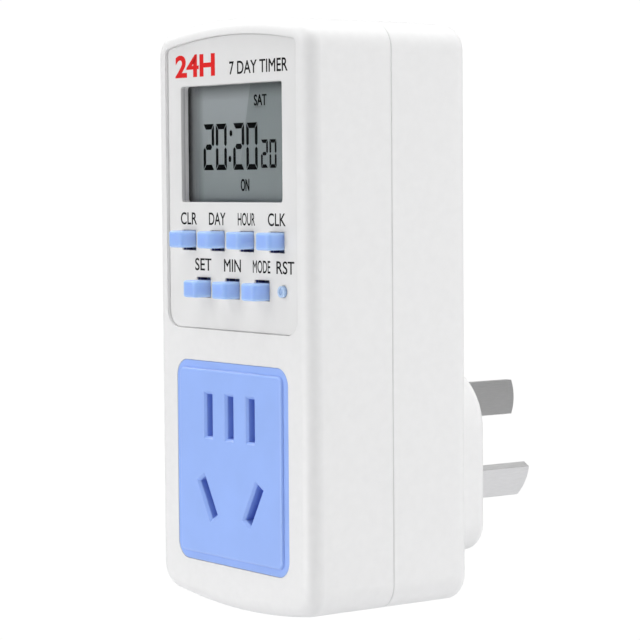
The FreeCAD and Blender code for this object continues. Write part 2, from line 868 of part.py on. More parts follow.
def make_faceplate():
    body = new_body("control_faceplate")
    pad(body, plate_outline(), plate_back, plate_front)
    soften(body, "Fillet", size["plate_edge"], lambda edge: lies_at(edge, plate_front))
    pocket(body, control_openings(), plate_back, plate_front)


def make_display():
    left = size["display_across"] - size["display_width"] / 2
    right = size["display_across"] + size["display_width"] / 2
    half_height = size["display_height"] / 2
    level = size["display_level"]

    def centred(label, extra, low, high):
        return block(label, left - extra, right + extra, low, high,
                     level - half_height - extra, level + half_height + extra)
    register(centred("window", size["window_margin"], wall_inner, window_front), "display_window")
    register(centred("lcd", size["lcd_margin"], lcd_back, lcd_front), "lcd_panel")
    zebra_edge = half_height + size["lcd_margin"] - size["zebra_width"]
    reflector = block("reflector", left, right, lcd_back - size["reflector_thick"], lcd_back,
                      level - zebra_edge + size["holder_gap"], level + zebra_edge - size["holder_gap"])
    register(reflector, "lcd_reflector")
    strips = []
    for side in (-1, 1):
        middle = level + side * (zebra_edge + size["zebra_width"] / 2)
        strips.append(block("strip", left, right, board_front, lcd_back,
                            middle - size["zebra_width"] / 2, middle + size["zebra_width"] / 2))
    group("zebra_strips", strips)
    body = new_body("lcd_holder")

    def around(half_width, half_height):
        return rectangle(size["display_across"] - half_width, size["display_across"] + half_width,
                         level - half_height, level + half_height)
    pad(body, around(holder_half_width, holder_half_height), board_front, wall_inner)
    pocket(body, around(holder_half_width - size["holder_wall"], holder_half_height - size["holder_wall"]),
           board_front, wall_inner)


def make_key(label, across, level, shift):
    body = new_body(label)
    half_width = size["key_width"] / 2
    middle = level + shift
    half_height = size["key_height"] / 2
    extra = size["flange_extra"]
    flange_front = wall_inner - size["flange_gap"]
    flange_back = flange_front - size["flange_thick"]
    key_front = plate_front + size["key_proud"]
    pad(body, rectangle(across - half_width, across + half_width, middle - half_height,
                        middle + half_height), flange_back, key_front)
    soften(body, "Fillet", size["key_side_radius"],
           lambda edge: lies_at(edge, key_front) and edge.BoundBox.ZLength > edge.BoundBox.XLength)
    soften(body, "Fillet", size["key_edge_radius"],
           lambda edge: not lies_at(edge, flange_back) and (lies_level(edge, middle - half_height)
                                                            or lies_level(edge, middle + half_height)))
    pad(body, rectangle(across - half_width - extra, across + half_width + extra,
                        middle - half_height - extra, middle + half_height + extra),
        flange_back, flange_front)
    stem = size["stem_size"] / 2
    pad(body, rectangle(across - stem, across + stem, level - stem, level + stem),
        plunger_front, flange_back)


def make_reset_button():
    body = new_body("reset_button")
    across = size["reset_across"]
    level = size["lower_row"]
    flange_front = wall_inner - size["flange_gap"]
    flange_back = flange_front - size["flange_thick"]
    button_front = plate_front + size["reset_proud"]
    pad(body, circle(across, level, size["reset_radius"]), plunger_front, button_front)
    pad(body, circle(across, level, size["reset_flange_radius"]), flange_back, flange_front)
    pocket(body, circle(across, level, size["dimple_radius"]),
           button_front - size["dimple_depth"], button_front)


def make_switches():
    housings = []
    half = size["switch_size"] / 2
    for name, (across, level) in switch_places.items():
        housing = block(f"{name} box", across - half, across + half, board_front, switch_front,
                        level - half, level + half)
        bore = rod(f"{name} bore", across, level, size["plunger_radius"] + size["plunger_gap"],
                   switch_front - size["switch_bore_depth"], switch_front)
        housings.append(cut(f"{name} housing", housing, bore))
        plunger = rod(name, across, level, size["plunger_radius"],
                      switch_front - size["plunger_depth"], plunger_front)
        register(plunger, f"{name}_plunger")
    group("switch_housings", housings)


def board(label, half_width, low, high, z_low, z_high, holes):
    body = new_body(label)
    pad(body, rounded_rectangle(-half_width, half_width, z_low, z_high,
                                size["board_corner"]), low, high)
    hole = size["inner_screw_radius"] + size["screw_gap"]
    pocket(body, together(*(circle(*place, hole) for place in holes)), low, high)


def make_boards():
    board("control_board", board_half_width, board_back, board_front, size["board_base"], board_crown,
          board_screws)
    board("power_board", power_half_width, power_back, power_front, size["power_base"],
          size["power_crown"], power_screws)


def screw(kind, across, level, tip, seat, head):
    """Its shaft runs from the tip to the seat and its head from there to the head's end."""
    label = f"{kind} screw"
    shaft = rod(f"{label} shaft", across, level, size[f"{kind}_screw_radius"], *in_order(tip, seat))
    cap = rod(f"{label} head", across, level, size[f"{kind}_head_radius"], *in_order(seat, head))
    drive = rod(f"{label} drive", across, level, size[f"{kind}_drive_radius"],
                *in_order(head, (head + seat) / 2))
    return cut(label, fuse(f"{label} blank", shaft, cap), drive)


def in_order(one, other):
    return (one, other) if one.number < other.number else (other, one)


def make_screws():
    seat = parting - size["case_screw_seat"]
    tip = parting + size["case_screw_grip"]
    head = seat - size["case_head_height"]
    group("case_screws", [screw("case", *place, tip, seat, head) for place in case_screws])
    length = size["inner_screw_length"]
    head_height = size["inner_head_height"]
    carrier_seat = carrier_screw_seat()
    pieces = []
    for places, seat, way in ((board_screws, board_back, 1), (power_screws, power_front, -1),
                              (carrier_screws, carrier_seat, 1), (retainer_screws, retainer_front, -1)):
        for place in places:
            pieces.append(screw("inner", *place, seat + way * length, seat, seat - way * head_height))
    group("inner_screws", pieces)


def carrier_screw_seat():
    return panel_back - size["carrier_web"]


def socket_slots(width, length):
    """The five holes: earth and the two-pin pair in one row, the leaning pair below."""
    slots = [leaning_slot(0, size["earth_rise"], width, length, 0)]
    for side in pole_places.values():
        slots.append(leaning_slot(side * size["two_pin_spread"], size["earth_rise"], width, length, 0))
        slots.append(leaning_slot(side * size["pole_spread"], -size["pole_drop"], width, length,
                                  side * size["pole_tilt"]))
    return slots


def make_socket_panel():
    body = new_body("socket_panel")
    half_width = size["panel_width"] / 2
    half_height = size["panel_height"] / 2
    level = size["panel_level"]

    def outline(extra, corner):
        return rounded_rectangle(-half_width - extra, half_width + extra, level - half_height - extra,
                                 level + half_height + extra, corner)
    flange = size["panel_flange"]
    inset = size["plateau_inset"]
    pad(body, outline(as_size(0), size["panel_corner"]), panel_back, front)
    soften(body, "Fillet", size["panel_edge"], lambda edge: lies_at(edge, front))
    pad(body, outline(-inset, size["plateau_corner"]), wall_inner, plateau_front)
    soften(body, "Fillet", size["plateau_edge"], lambda edge: lies_at(edge, plateau_front))
    pad(body, outline(flange, size["panel_corner"] + flange), panel_back, wall_inner)
    for drawing in socket_slots(size["slot_width"], size["slot_length"]):
        pocket(body, drawing, panel_back, plateau_front)
    field_half_width = (half_width - inset - size["plateau_edge"]).number

    def mouth(edge):
        box = edge.BoundBox
        return (lies_at(edge, plateau_front) and edge.Length < size["slot_length"].number + TOLERANCE
                and max(-box.XMin, box.XMax) < field_half_width - TOLERANCE)
    soften(body, "Chamfer", size["slot_chamfer"], mouth)
    hole = size["inner_screw_radius"] + size["screw_gap"]
    reach = carrier_screw_seat() + size["inner_screw_length"] + size["hole_extra"]
    pocket(body, together(*(circle(*place, hole) for place in carrier_screws)), panel_back, reach)


def pole_cell(side):
    """Limits of the carrier's room for one pole's contact, across and up."""
    clip = size["blade_thick"] / 2 + size["leaf_gap"] + size["leaf_thick"]
    half_leaf = size["blade_width"] / 2 + size["leaf_extra"]
    lean = size["pole_tilt"]
    inner = size["pole_spread"] - clip * cosine(lean) - half_leaf * sine(lean) - size["cell_gap"]
    outer = size["live_tail_across"] + size["tail_width"] / 2 + size["cell_gap"]
    low = -size["pole_drop"] - clip * sine(lean) - half_leaf * cosine(lean) - size["cell_gap"]
    high = size["earth_rise"] + size["blade_width"] / 2 + size["leaf_extra"] + size["cell_gap"]
    return (side * inner, side * outer) if side > 0 else (side * outer, side * inner), (low, high)


def make_carrier():
    body = new_body("contact_carrier")
    half = size["carrier_width"] / 2
    pad(body, rectangle(-half, half, -size["carrier_drop"], size["carrier_crown"]),
        size["carrier_back"], panel_back)
    earth_half = size["blade_thick"] / 2 + size["leaf_gap"] + size["leaf_thick"] + size["cell_gap"]
    (_, _), (_, high) = pole_cell(1)
    low = size["earth_rise"] * 2 - high
    pocket(body, rectangle(-earth_half, earth_half, low, high), earth_cell_floor, panel_back)
    cells = []
    for side in pole_places.values():
        (left, right), (low, high) = pole_cell(side)
        cells.append(rectangle(left, right, low, high))
    pocket(body, together(*cells), pole_cell_floor, panel_back)
    tail_half = size["tail_width"] / 2 + size["tail_gap"]
    tail_thick = size["strap_thick"] / 2 + size["tail_gap"]
    tails = [rectangle(across - tail_half, across + tail_half, level - tail_thick, level + tail_thick)
             for across, level in tail_places().values()]
    pocket(body, together(*tails), size["carrier_back"], pole_cell_floor)
    seat = carrier_screw_seat()
    head_room = size["inner_head_radius"] + size["counterbore_gap"]
    pocket(body, together(*(circle(*place, head_room) for place in carrier_screws)),
           size["carrier_back"], seat)
    hole = size["inner_screw_radius"] + size["screw_gap"]
    pocket(body, together(*(circle(*place, hole) for place in carrier_screws)), seat, panel_back)


def tail_places():
    return {"earth": (as_size(0), size["earth_rise"]),
            "neutral": (-size["pole_spread"], -size["pole_drop"]),
            "live": (size["live_tail_across"], size["live_tail_level"])}


def leaf_pair(across, level, tilt):
    """Two spring leaves, one on each side of where a blade goes in."""
    inner = size["blade_thick"] / 2 + size["leaf_gap"]
    offset = inner + size["leaf_thick"] / 2
    leaves = []
    for side in (-1, 1):
        leaves.append(leaning_slot(across + side * offset * cosine(as_size(tilt)),
                                   level - side * offset * sine(as_size(tilt)), size["leaf_thick"],
                                   size["blade_width"] + size["leaf_extra"] * 2, tilt))
    return leaves


def make_contacts():
    half_blade = size["blade_width"] / 2 + size["leaf_extra"]
    half_tail = size["tail_width"] / 2
    half_strap = size["strap_thick"] / 2
    body = new_body("earth_contact")
    clip = size["blade_thick"] / 2 + size["leaf_gap"] + size["leaf_thick"]
    rise = size["earth_rise"]
    strap_front = earth_cell_floor + size["strap_thick"]
    pad(body, rectangle(-clip, clip, rise - half_blade, rise + half_blade), earth_cell_floor, strap_front)
    for leaf in leaf_pair(as_size(0), rise, as_size(0)):
        pad(body, leaf, strap_front, leaf_end)
    pad(body, rectangle(-half_tail, half_tail, rise - half_strap, rise + half_strap),
        tail_end, earth_cell_floor)
    strap_front = pole_cell_floor + size["strap_thick"]
    for name, side in pole_places.items():
        body = new_body(f"{name}_contact")
        spread = side * size["two_pin_spread"]
        half_width = size["strap_width"] / 2
        low = -size["pole_drop"] - size["blade_width"] / 2
        pad(body, rectangle(spread - half_width, spread + half_width, low, rise + half_blade),
            pole_cell_floor, strap_front)
        tail_across, tail_level = tail_places()[name]
        if name == "live":
            pad(body, rectangle(spread, tail_across + half_tail, tail_level - half_tail,
                                tail_level + half_tail), pole_cell_floor, strap_front)
        for leaf in leaf_pair(spread, rise, as_size(0)):
            pad(body, leaf, strap_front, leaf_end)
        for leaf in leaf_pair(side * size["pole_spread"], -size["pole_drop"], side * size["pole_tilt"]):
            pad(body, leaf, strap_front, leaf_end)
        pad(body, rectangle(tail_across - half_tail, tail_across + half_tail, tail_level - half_strap,
                            tail_level + half_strap), tail_end, pole_cell_floor)


def blade_outline(length):
    """A flat blade seen on its broad side: X is the reach into the wall, Y the width."""
    half = size["blade_width"] / 2
    radius = size["tip_radius"]
    sag = radius - root_of(radius * radius - half * half)
    w, reach, r, s = half.number, length.number, radius.number, sag.number
    lean = math.asin(w / r)

    def draw(sketch):
        back = -size["plug_face_thick"].number
        elements = [line((back, -w), (reach - s, -w)), arc(reach - r, 0, r, -lean, lean),
                    line((reach - s, w), (back, w)), line((back, w), (back, -w))]
        sketch.addGeometry(elements, False)
        for index in range(4):
            following = (index + 1) % 4
            sketch.addConstraint(Sketcher.Constraint("Coincident", index, 2, following, 1))
        for index, kind in ((0, "Horizontal"), (2, "Horizontal"), (3, "Vertical")):
            sketch.addConstraint(Sketcher.Constraint(kind, index))
        measure(sketch, "Radius", radius, 1)
        place_point(sketch, 0, 1, -size["plug_face_thick"], -half)
        measure(sketch, "DistanceY", half, -1, 1, 2, 1)
        place_point(sketch, 1, 3, length - radius, 0)
    return draw


def make_pin(label, across, level, tilt, length):
    """Modelled upright at the origin, then leaned and moved to its place."""
    body = new_body(label)
    sketch = sketch_on(body, -size["blade_thick"] / 2, "YZ_Plane")
    blade_outline(length)(sketch)
    blade = body.newObject("PartDesign::Pad", "Blade")
    blade.Profile = (sketch, [""])
    bind(blade, "Length", size["blade_thick"])
    half_width = size["shoulder_width"] / 2
    half_thick = size["shoulder_thick"] / 2
    pad(body, rectangle(-half_thick, half_thick, -half_width, half_width),
        size["plug_face_thick"], retainer_back)
    pad(body, rectangle(-size["tab_thick"] / 2, size["tab_thick"] / 2, -size["tab_width"] / 2,
                        size["tab_width"] / 2), retainer_back, tab_end)
    body.Placement.Rotation = FreeCAD.Rotation(VECTOR(0, 1, 0), as_size(tilt).number)
    bind(body, "Placement.Base.x", across)
    bind(body, "Placement.Base.z", level)


def make_plug():
    make_pin("earth_pin", as_size(0), size["earth_rise"], 0, size["earth_pin_length"])
    for name, side in pole_places.items():
        make_pin(f"{name}_pin", side * size["pole_spread"], -size["pole_drop"],
                 side * size["pole_tilt"], size["pole_pin_length"])
    body = new_body("pin_retainer")
    half = size["retainer_width"] / 2
    pad(body, rounded_rectangle(-half, half, -size["retainer_drop"], size["retainer_crown"],
                                size["retainer_corner"]), retainer_back, retainer_front)
    room = size["tab_gap"] * 2
    wide = size["tab_thick"] + room
    tall = size["tab_width"] + room
    slots = [leaning_slot(0, size["earth_rise"], wide, tall, 0)]
    for side in pole_places.values():
        slots.append(leaning_slot(side * size["pole_spread"], -size["pole_drop"], wide, tall,
                                  side * size["pole_tilt"]))
    pocket(body, together(*slots), retainer_back, retainer_front)
    hole = size["inner_screw_radius"] + size["screw_gap"]
    pocket(body, together(*(circle(*place, hole) for place in retainer_screws)),
           retainer_back, retainer_front)


def route_of(points, bend):
    """Straight runs joined by arcs that touch them."""
    edges = []
    start = points[0]
    for before, corner, after in zip(points, points[1:], points[2:]):
        back = (before - corner).normalize()
        ahead = (after - corner).normalize()
        half_turn = (math.pi - back.getAngle(ahead)) / 2
        trim = bend * math.tan(half_turn)
        entry = corner + back * trim
        leave = corner + ahead * trim
        inward = (back + ahead).normalize()
        middle = corner + inward * (bend / math.cos(half_turn) - bend)
        edges.append(Part.LineSegment(start, entry).toShape())
        edges.append(Part.Arc(entry, middle, leave).toShape())
        start = leave
    edges.append(Part.LineSegment(start, points[-1]).toShape())
    return Part.Wire(edges)


def wire(label, places):
    """An insulated wire along places given as (across, stand, level)."""
    points = [VECTOR(across.number, -stand.number, level.number) for across, stand, level in places]
    radius = size["wire_radius"].number
    if len(points) == 2:
        across, low, level = places[0]
        return register(rod(label, across, level, size["wire_radius"], low, places[1][1]), label)
    route = route_of(points, size["wire_bend"].number)
    ring = Part.Wire([Part.Circle(points[0], points[1] - points[0], radius).toShape()])
    tube = doc.addObject("Part::Feature", "Wire")
    tube.Shape = route.makePipeShell([ring], True, False)
    tube.Placement = FreeCAD.Placement()
    print(label, "length", round(route.Length, 2), "volume ratio",
          round(tube.Shape.Volume / (math.pi * radius ** 2 * route.Length), 4))
    return register(tube, label)


def make_wires():
    drop = -size["pole_drop"]
    spread = size["pole_spread"]
    lane = power_front + size["wire_lift"]
    pads = size["pad_level"]
    wire("earth_wire", [(as_size(0), tab_end, size["earth_rise"]),
                        (as_size(0), tail_end, size["earth_rise"])])
    wire("neutral_wire", [(-spread, tab_end, drop), (-spread, tail_end, drop)])
    feed = size["feed_pad_across"]
    wire("live_feed_wire", [(spread, tab_end, drop), (spread, lane, drop),
                            (feed, lane + size["wire_lift"], pads), (feed, power_front, pads)])
    tail_across, tail_level = tail_places()["live"]
    switched = size["switched_pad_across"]
    wire("switched_live_wire", [(switched, power_front, pads),
                                (switched, lane + size["wire_lift"], pads),
                                (tail_across, lane - size["wire_lift"], tail_level),
                                (tail_across, tail_end, tail_level)])


def make_relay():
    level = size["relay_level"]
    half_width = size["relay_width"] / 2
    half_depth = size["relay_depth"] / 2
    base_front = power_front + size["relay_base_thick"]
    top = power_front + size["relay_height"]
    wall = size["relay_wall"]
    register(block("base", -half_width, half_width, power_front, base_front,
                   level - half_depth, level + half_depth), "relay_base")
    outside = block("outside", -half_width, half_width, base_front, top,
                    level - half_depth, level + half_depth)
    inside = block("inside", wall - half_width, half_width - wall, base_front, top - wall,
                   level - half_depth + wall, level + half_depth - wall)
    register(cut("cover", outside, inside), "relay_cover")
    armature_back = power_front + size["armature_stand"]
    yoke_top = armature_back - size["armature_seat_gap"]
    core_top = armature_back - size["pole_gap"]
    foot_front = base_front + size["yoke_thick"]
    half_yoke = size["yoke_width"] / 2
    yoke_edge = size["yoke_edge"]
    foot = block("foot", yoke_edge, size["core_radius"] * 2, base_front, foot_front,
                 level - half_yoke, level + half_yoke)
    leg = block("leg", yoke_edge, yoke_edge + size["yoke_thick"], base_front, yoke_top,
                level - half_yoke, level + half_yoke)
    core = rod("core", 0, level, size["core_radius"], foot_front, core_top)
    register(fuse("yoke", foot, leg, core), "relay_yoke")
    bore = size["core_radius"] + size["core_gap"]
    tube_outer = bore + size["tube_thick"]
    half_flange = size["bobbin_flange"] / 2
    thick = size["bobbin_flange_thick"]
    bobbin_top = core_top - thick / 2
    flanges = [block("flange", -half_flange, half_flange, low, low + thick,
                     level - half_flange, level + half_flange)
               for low in (foot_front, bobbin_top - thick)]
    tube = rod("tube", 0, level, tube_outer, foot_front, bobbin_top)
    hollow = rod("hollow", 0, level, bore, foot_front, bobbin_top)
    register(cut("bobbin", fuse("spool", tube, *flanges), hollow), "relay_bobbin")
    coil_low = foot_front + thick
    coil_high = bobbin_top - thick
    winding = rod("winding", 0, level, size["coil_radius"], coil_low, coil_high)
    eye = rod("eye", 0, level, tube_outer, coil_low, coil_high)
    register(cut("coil", winding, eye), "relay_coil")
    half_armature = size["armature_width"] / 2
    armature_front = armature_back + size["armature_thick"]
    register(block("armature", yoke_edge, size["armature_reach"], armature_back, armature_front,
                   level - half_armature, level + half_armature), "relay_armature")
    half_spring = size["spring_width"] / 2
    leaf = block("leaf", size["spring_start"], size["spring_reach"], armature_front,
                 armature_front + size["spring_thick"], level - half_spring, level + half_spring)
    contact_back = armature_front - size["contact_height"]
    stud = rod("stud", size["contact_across"], level, size["contact_radius"], contact_back, armature_front)
    register(fuse("spring", leaf, stud), "relay_moving_contact")
    half_terminal = size["terminal_width"] / 2
    half_thick = size["terminal_thick"] / 2
    seat = contact_back - size["contact_gap"] - size["contact_height"]
    across = size["contact_across"]
    post = block("post", across - half_thick, across + half_thick, base_front, seat,
                 level - half_terminal, level + half_terminal)
    button = rod("button", across, level, size["contact_radius"], seat, contact_back - size["contact_gap"])
    register(fuse("terminal", post, button), "relay_fixed_contact")


def lying_part(label, across, level, radius, length, span):
    """A body with a wire at each end, bent down to the power board."""
    stand = power_front + size["lead_lift"] + radius
    lead = size["lead_radius"]
    half = span / 2
    case = upright_rod(f"{label} case", across, stand, radius, level - length / 2, level + length / 2)
    along = upright_rod(f"{label} lead", across, stand, size["lying_lead_radius"], level - half,
                        level + half)
    legs = [rod(f"{label} leg", across, level + side * half, lead, power_front, stand + lead)
            for side in (-1, 1)]
    return fuse(label, case, along, *legs)


def make_board_parts():
    level = size["parts_level"]
    half_film = size["film_width"] / 2
    half_thick = size["film_thick"] / 2
    register(block("film", -half_film, half_film, power_front, power_front + size["film_height"],
                   size["film_level"] - half_thick, size["film_level"] + half_thick),
             "suppression_capacitor")
    register(rod("can", size["can_across"], level, size["can_radius"], power_front,
                 power_front + size["can_height"]), "smoothing_capacitor")
    span = size["lead_span"]
    group("rectifier_diodes", [lying_part("diode", size["diode_start"] + size["diode_spacing"] * order,
                                          level, size["diode_radius"], size["diode_length"], span)
                               for order in range(4)])
    group("resistors", [lying_part("resistor",
                                   size["resistor_start"] + size["resistor_spacing"] * order, level,
                                   size["resistor_radius"], size["resistor_length"], span)
                        for order in range(3)])
    register(lying_part("link fuse", size["fuse_across"], size["film_level"], size["fuse_radius"],
                        size["fuse_length"], span), "fuse")
    disc_stand = power_front + size["disc_lift"] + size["disc_radius"]
    half_disc = size["disc_thick"] / 2
    disc_across = power_half_width - size["disc_inset"]
    disc = upright_rod("disc", disc_across, disc_stand, size["disc_radius"],
                       size["film_level"] - half_disc, size["film_level"] + half_disc)
    legs = [rod("disc leg", disc_across + side * size["disc_radius"] / 2, size["film_level"],
                size["lead_radius"], power_front, disc_stand) for side in (-1, 1)]
    register(fuse("disc part", disc, *legs), "varistor")
    cell_back = board_back - size["cell_height"]
    cell = rod("cell", size["cell_across"], level, size["cell_radius"], cell_back,
               board_back - size["cell_tab"])
    half_tab = size["cell_tab_width"] / 2
    tab = block("tab", size["cell_across"] - half_tab, size["cell_across"] + half_tab,
                board_back - size["cell_tab"], board_back, level - size["cell_radius"],
                level + size["cell_radius"])
    register(fuse("cell with tab", cell, tab), "backup_battery")
    chip_back = board_back - size["chip_thick"]
    half_chip = size["chip_size"] / 2
    chip_body = block("chip body", size["chip_across"] - half_chip, size["chip_across"] + half_chip,
                      chip_back, board_back - size["chip_leg_thick"], level - half_chip,
                      level + half_chip)
    legs = []
    reach = half_chip + size["chip_leg_reach"]
    leg_half = size["chip_leg_width"] / 2
    for order in range(CHIP_LEGS):
        offset = size["chip_size"] * ((order + 0.5) / CHIP_LEGS - 0.5)
        legs.append(block("leg", size["chip_across"] - reach, size["chip_across"] + reach,
                          board_back - size["chip_leg_thick"], board_back,
                          level + offset - leg_half, level + offset + leg_half))
    register(fuse("chip", chip_body, *legs), "control_chip")
    crystal_stand = board_back - size["crystal_radius"]
    register(upright_rod("crystal", size["crystal_across"], crystal_stand, size["crystal_radius"],
                         level - size["crystal_length"] / 2, level + size["crystal_length"] / 2),
             "timing_crystal")
    half_pin = size["link_pin"] / 2
    half_block = size["link_block"] / 2
    half_row = size["link_spacing"] * (LINK_PINS / 2)
    link_level = size["link_level"]
    pins = []
    for order in range(LINK_PINS):
        across = size["link_spacing"] * (order - (LINK_PINS - 1) / 2)
        pins.append(block("pin", across - half_pin, across + half_pin, power_front, board_back,
                          link_level - half_pin, link_level + half_pin))
    header = block("header", -half_row, half_row, power_front, power_front + size["link_block"],
                   link_level - half_block, link_level + half_block)
    register(fuse("link", header, *pins), "board_link")


def check_and_write():
    """Stop at any failed feature, then write one STEP file for each piece."""
    doc.recompute()
    failed = [item.Label for item in doc.Objects if {"Invalid", "Error"} & set(item.State)]
    if failed:
        raise RuntimeError(f"failed features: {failed}")
    for item in doc.Objects:
        if item.TypeId == "PartDesign::Pocket" and item.BaseFeature:
            if item.Shape.Volume > item.BaseFeature.Shape.Volume - 0.001:
                raise RuntimeError(f"a pocket of {item.getParent().Label} cuts nothing")
    os.makedirs("parts", exist_ok=True)
    for label, item in nodes.items():
        shape = item.Shape
        if shape.isNull() or not shape.isValid() or not shape.Solids:
            raise RuntimeError(f"{label} has no valid solid")
        shape.exportStep(f"parts/{label}.step")
        print(label, len(shape.Solids), "solids", round(shape.Volume, 1), "mm3")
    print(len(nodes), "pieces")


make_front_case()
make_rear_case()
make_faceplate()
make_display()
for key_label, key_place in key_places.items():
    make_key(key_label, *key_place)
make_reset_button()
make_switches()
make_boards()
make_socket_panel()
make_carrier()
make_contacts()
make_plug()
make_wires()
make_relay()
make_board_parts()
make_screws()
check_and_write()
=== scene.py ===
import bmesh
import bpy
import json
import math
from mathutils import Matrix, Vector


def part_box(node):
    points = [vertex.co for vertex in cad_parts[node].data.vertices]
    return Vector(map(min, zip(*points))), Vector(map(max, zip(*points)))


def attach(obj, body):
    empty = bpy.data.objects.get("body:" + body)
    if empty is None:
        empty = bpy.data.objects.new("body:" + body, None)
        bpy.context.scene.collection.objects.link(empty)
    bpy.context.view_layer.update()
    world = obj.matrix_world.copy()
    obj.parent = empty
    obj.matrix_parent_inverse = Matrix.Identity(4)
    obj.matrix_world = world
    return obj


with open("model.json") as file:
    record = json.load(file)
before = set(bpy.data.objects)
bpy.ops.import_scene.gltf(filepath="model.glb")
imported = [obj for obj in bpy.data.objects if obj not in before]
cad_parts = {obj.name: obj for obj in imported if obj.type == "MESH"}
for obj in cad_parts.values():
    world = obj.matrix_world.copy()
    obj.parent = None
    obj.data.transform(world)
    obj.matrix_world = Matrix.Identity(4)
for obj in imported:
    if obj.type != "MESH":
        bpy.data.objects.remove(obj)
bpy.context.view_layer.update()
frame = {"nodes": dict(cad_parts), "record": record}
mm = 0.001
print("frame loaded,", len(frame["nodes"]), "nodes")

# the view: azimuth 0 looks along +Y, the roll is the camera's slight tilt; angles in degrees,
# lengths in millimetres
view = {
    "azimuth": 53.780,
    "elevation": 3.351,
    "roll": -0.422,
    "distance": 423.221,
    "target": (-2.484, -21.0, 26.076),
    "lens": 135.39,
    "sensor": 36.0,
    "clipStart": 10.0,
}


def placeCamera():
    turn, lift, roll = (math.radians(view[key]) for key in ("azimuth", "elevation", "roll"))
    level = Vector((math.sin(turn), -math.cos(turn), 0))
    back = level * math.cos(lift) + Vector((0, 0, math.sin(lift)))
    right = Vector((math.cos(turn), math.sin(turn), 0))
    up = back.cross(right)
    tiltedRight = right * math.cos(roll) + up * math.sin(roll)
    tiltedUp = up * math.cos(roll) - right * math.sin(roll)
    lens = bpy.data.cameras.new("photoLens")
    lens.lens = view["lens"]
    lens.sensor_width = view["sensor"]
    lens.clip_start = view["clipStart"] * mm
    eye = bpy.data.objects.new("photoCamera", lens)
    turnMatrix = Matrix((tiltedRight, tiltedUp, back)).transposed().to_4x4()
    place = (Vector(view["target"]) + back * view["distance"]) * mm
    eye.matrix_world = Matrix.Translation(place) @ turnMatrix
    bpy.context.scene.collection.objects.link(eye)
    bpy.context.scene.camera = eye


placeCamera()
bpy.context.scene.view_settings.view_transform = "Standard"
print("camera placed")


# small helpers for node materials
def newMaterial(name):
    material = bpy.data.materials.new(name)
    material.use_nodes = True
    nodes = material.node_tree.nodes
    shader = nodes["Principled BSDF"]
    return material, nodes, material.node_tree.links, shader


def objectPlace(nodes, links, centre=(0, 0, 0), scale=(1, 1, 1)):
    # object coordinates, centred on a point given in millimetres
    source = nodes.new("ShaderNodeTexCoord")
    mapping = nodes.new("ShaderNodeMapping")
    mapping.vector_type = "TEXTURE"
    mapping.inputs["Location"].default_value = [value * mm for value in centre]
    mapping.inputs["Scale"].default_value = scale
    links.new(source.outputs["Object"], mapping.inputs["Vector"])
    return mapping.outputs["Vector"]


def noise(nodes, links, place, grain, detail=2.0):
    # grain is the size of one speck in millimetres
    texture = nodes.new("ShaderNodeTexNoise")
    texture.inputs["Scale"].default_value = 1 / (grain * mm)
    texture.inputs["Detail"].default_value = detail
    links.new(place, texture.inputs["Vector"])
    return texture.outputs["Fac"]


def colourRamp(nodes, links, factor, stops):
    # two stops, each a place and a colour
    ramp = nodes.new("ShaderNodeValToRGB")
    for element, (place, colour) in zip(ramp.color_ramp.elements, stops):
        element.position = place
        element.color = (*colour, 1)
    links.new(factor, ramp.inputs["Fac"])
    return ramp.outputs["Color"]


def bump(nodes, links, height, strength, depth, under=None):
    # depth is the relief in millimetres
    relief = nodes.new("ShaderNodeBump")
    relief.inputs["Strength"].default_value = strength
    relief.inputs["Distance"].default_value = depth * mm
    links.new(height, relief.inputs["Height"])
    if under is not None:
        links.new(under, relief.inputs["Normal"])
    return relief.outputs["Normal"]


def colourMix(nodes, links, factor, first, second):
    # from the first colour, a socket, to the second, a socket or a fixed colour
    blend = nodes.new("ShaderNodeMix")
    blend.data_type = "RGBA"
    links.new(factor, blend.inputs["Factor"])
    links.new(first, blend.inputs["A"])
    if isinstance(second, tuple):
        blend.inputs["B"].default_value = (*second, 1)
    else:
        links.new(second, blend.inputs["B"])
    return blend.outputs["Result"]


def shade(colour, factor):
    return tuple(channel * factor for channel in colour)


bevelSamples = 6


def softEdge(nodes, radius):
    # rounds sharp edges in the shading alone
    edge = nodes.new("ShaderNodeBevel")
    edge.samples = bevelSamples
    edge.inputs["Radius"].default_value = radius * mm
    return edge.outputs["Normal"]


def paintDepthShading(nodes, links, place, tint, paintedDepthShading):
    # painted shading: the colour runs towards another colour between two stands in front of the
    # plug face, as painted shade deep in openings and slots and as painted light low on the keys'
    # sides
    split = nodes.new("ShaderNodeSeparateXYZ")
    links.new(place, split.inputs["Vector"])
    depth = nodes.new("ShaderNodeMapRange")
    depth.interpolation_type = "SMOOTHSTEP"
    depth.inputs["From Min"].default_value = -paintedDepthShading["start"] * mm
    depth.inputs["From Max"].default_value = -paintedDepthShading["end"] * mm
    links.new(split.outputs["Y"], depth.inputs["Value"])
    return colourMix(nodes, links, depth.outputs["Result"], tint, paintedDepthShading["colour"])


def paintedShadeBox(nodes, links, tint, zone):
    # painted shade: another colour inside a box, given by its centre and half its sides in
    # millimetres
    place = objectPlace(nodes, links, zone["centre"], [half * mm for half in zone["half"]])
    apart = nodes.new("ShaderNodeVectorMath")
    apart.operation = "ABSOLUTE"
    links.new(place, apart.inputs[0])
    split = nodes.new("ShaderNodeSeparateXYZ")
    links.new(apart.outputs["Vector"], split.inputs["Vector"])
    farthest = split.outputs["X"]
    for axis in "YZ":
        larger = nodes.new("ShaderNodeMath")
        larger.operation = "MAXIMUM"
        links.new(farthest, larger.inputs[0])
        links.new(split.outputs[axis], larger.inputs[1])
        farthest = larger.outputs["Value"]
    inside = nodes.new("ShaderNodeMath")
    inside.operation = "LESS_THAN"
    inside.inputs[1].default_value = 1.0
    links.new(farthest, inside.inputs[0])
    return colourMix(nodes, links, inside.outputs["Value"], tint, zone["colour"])


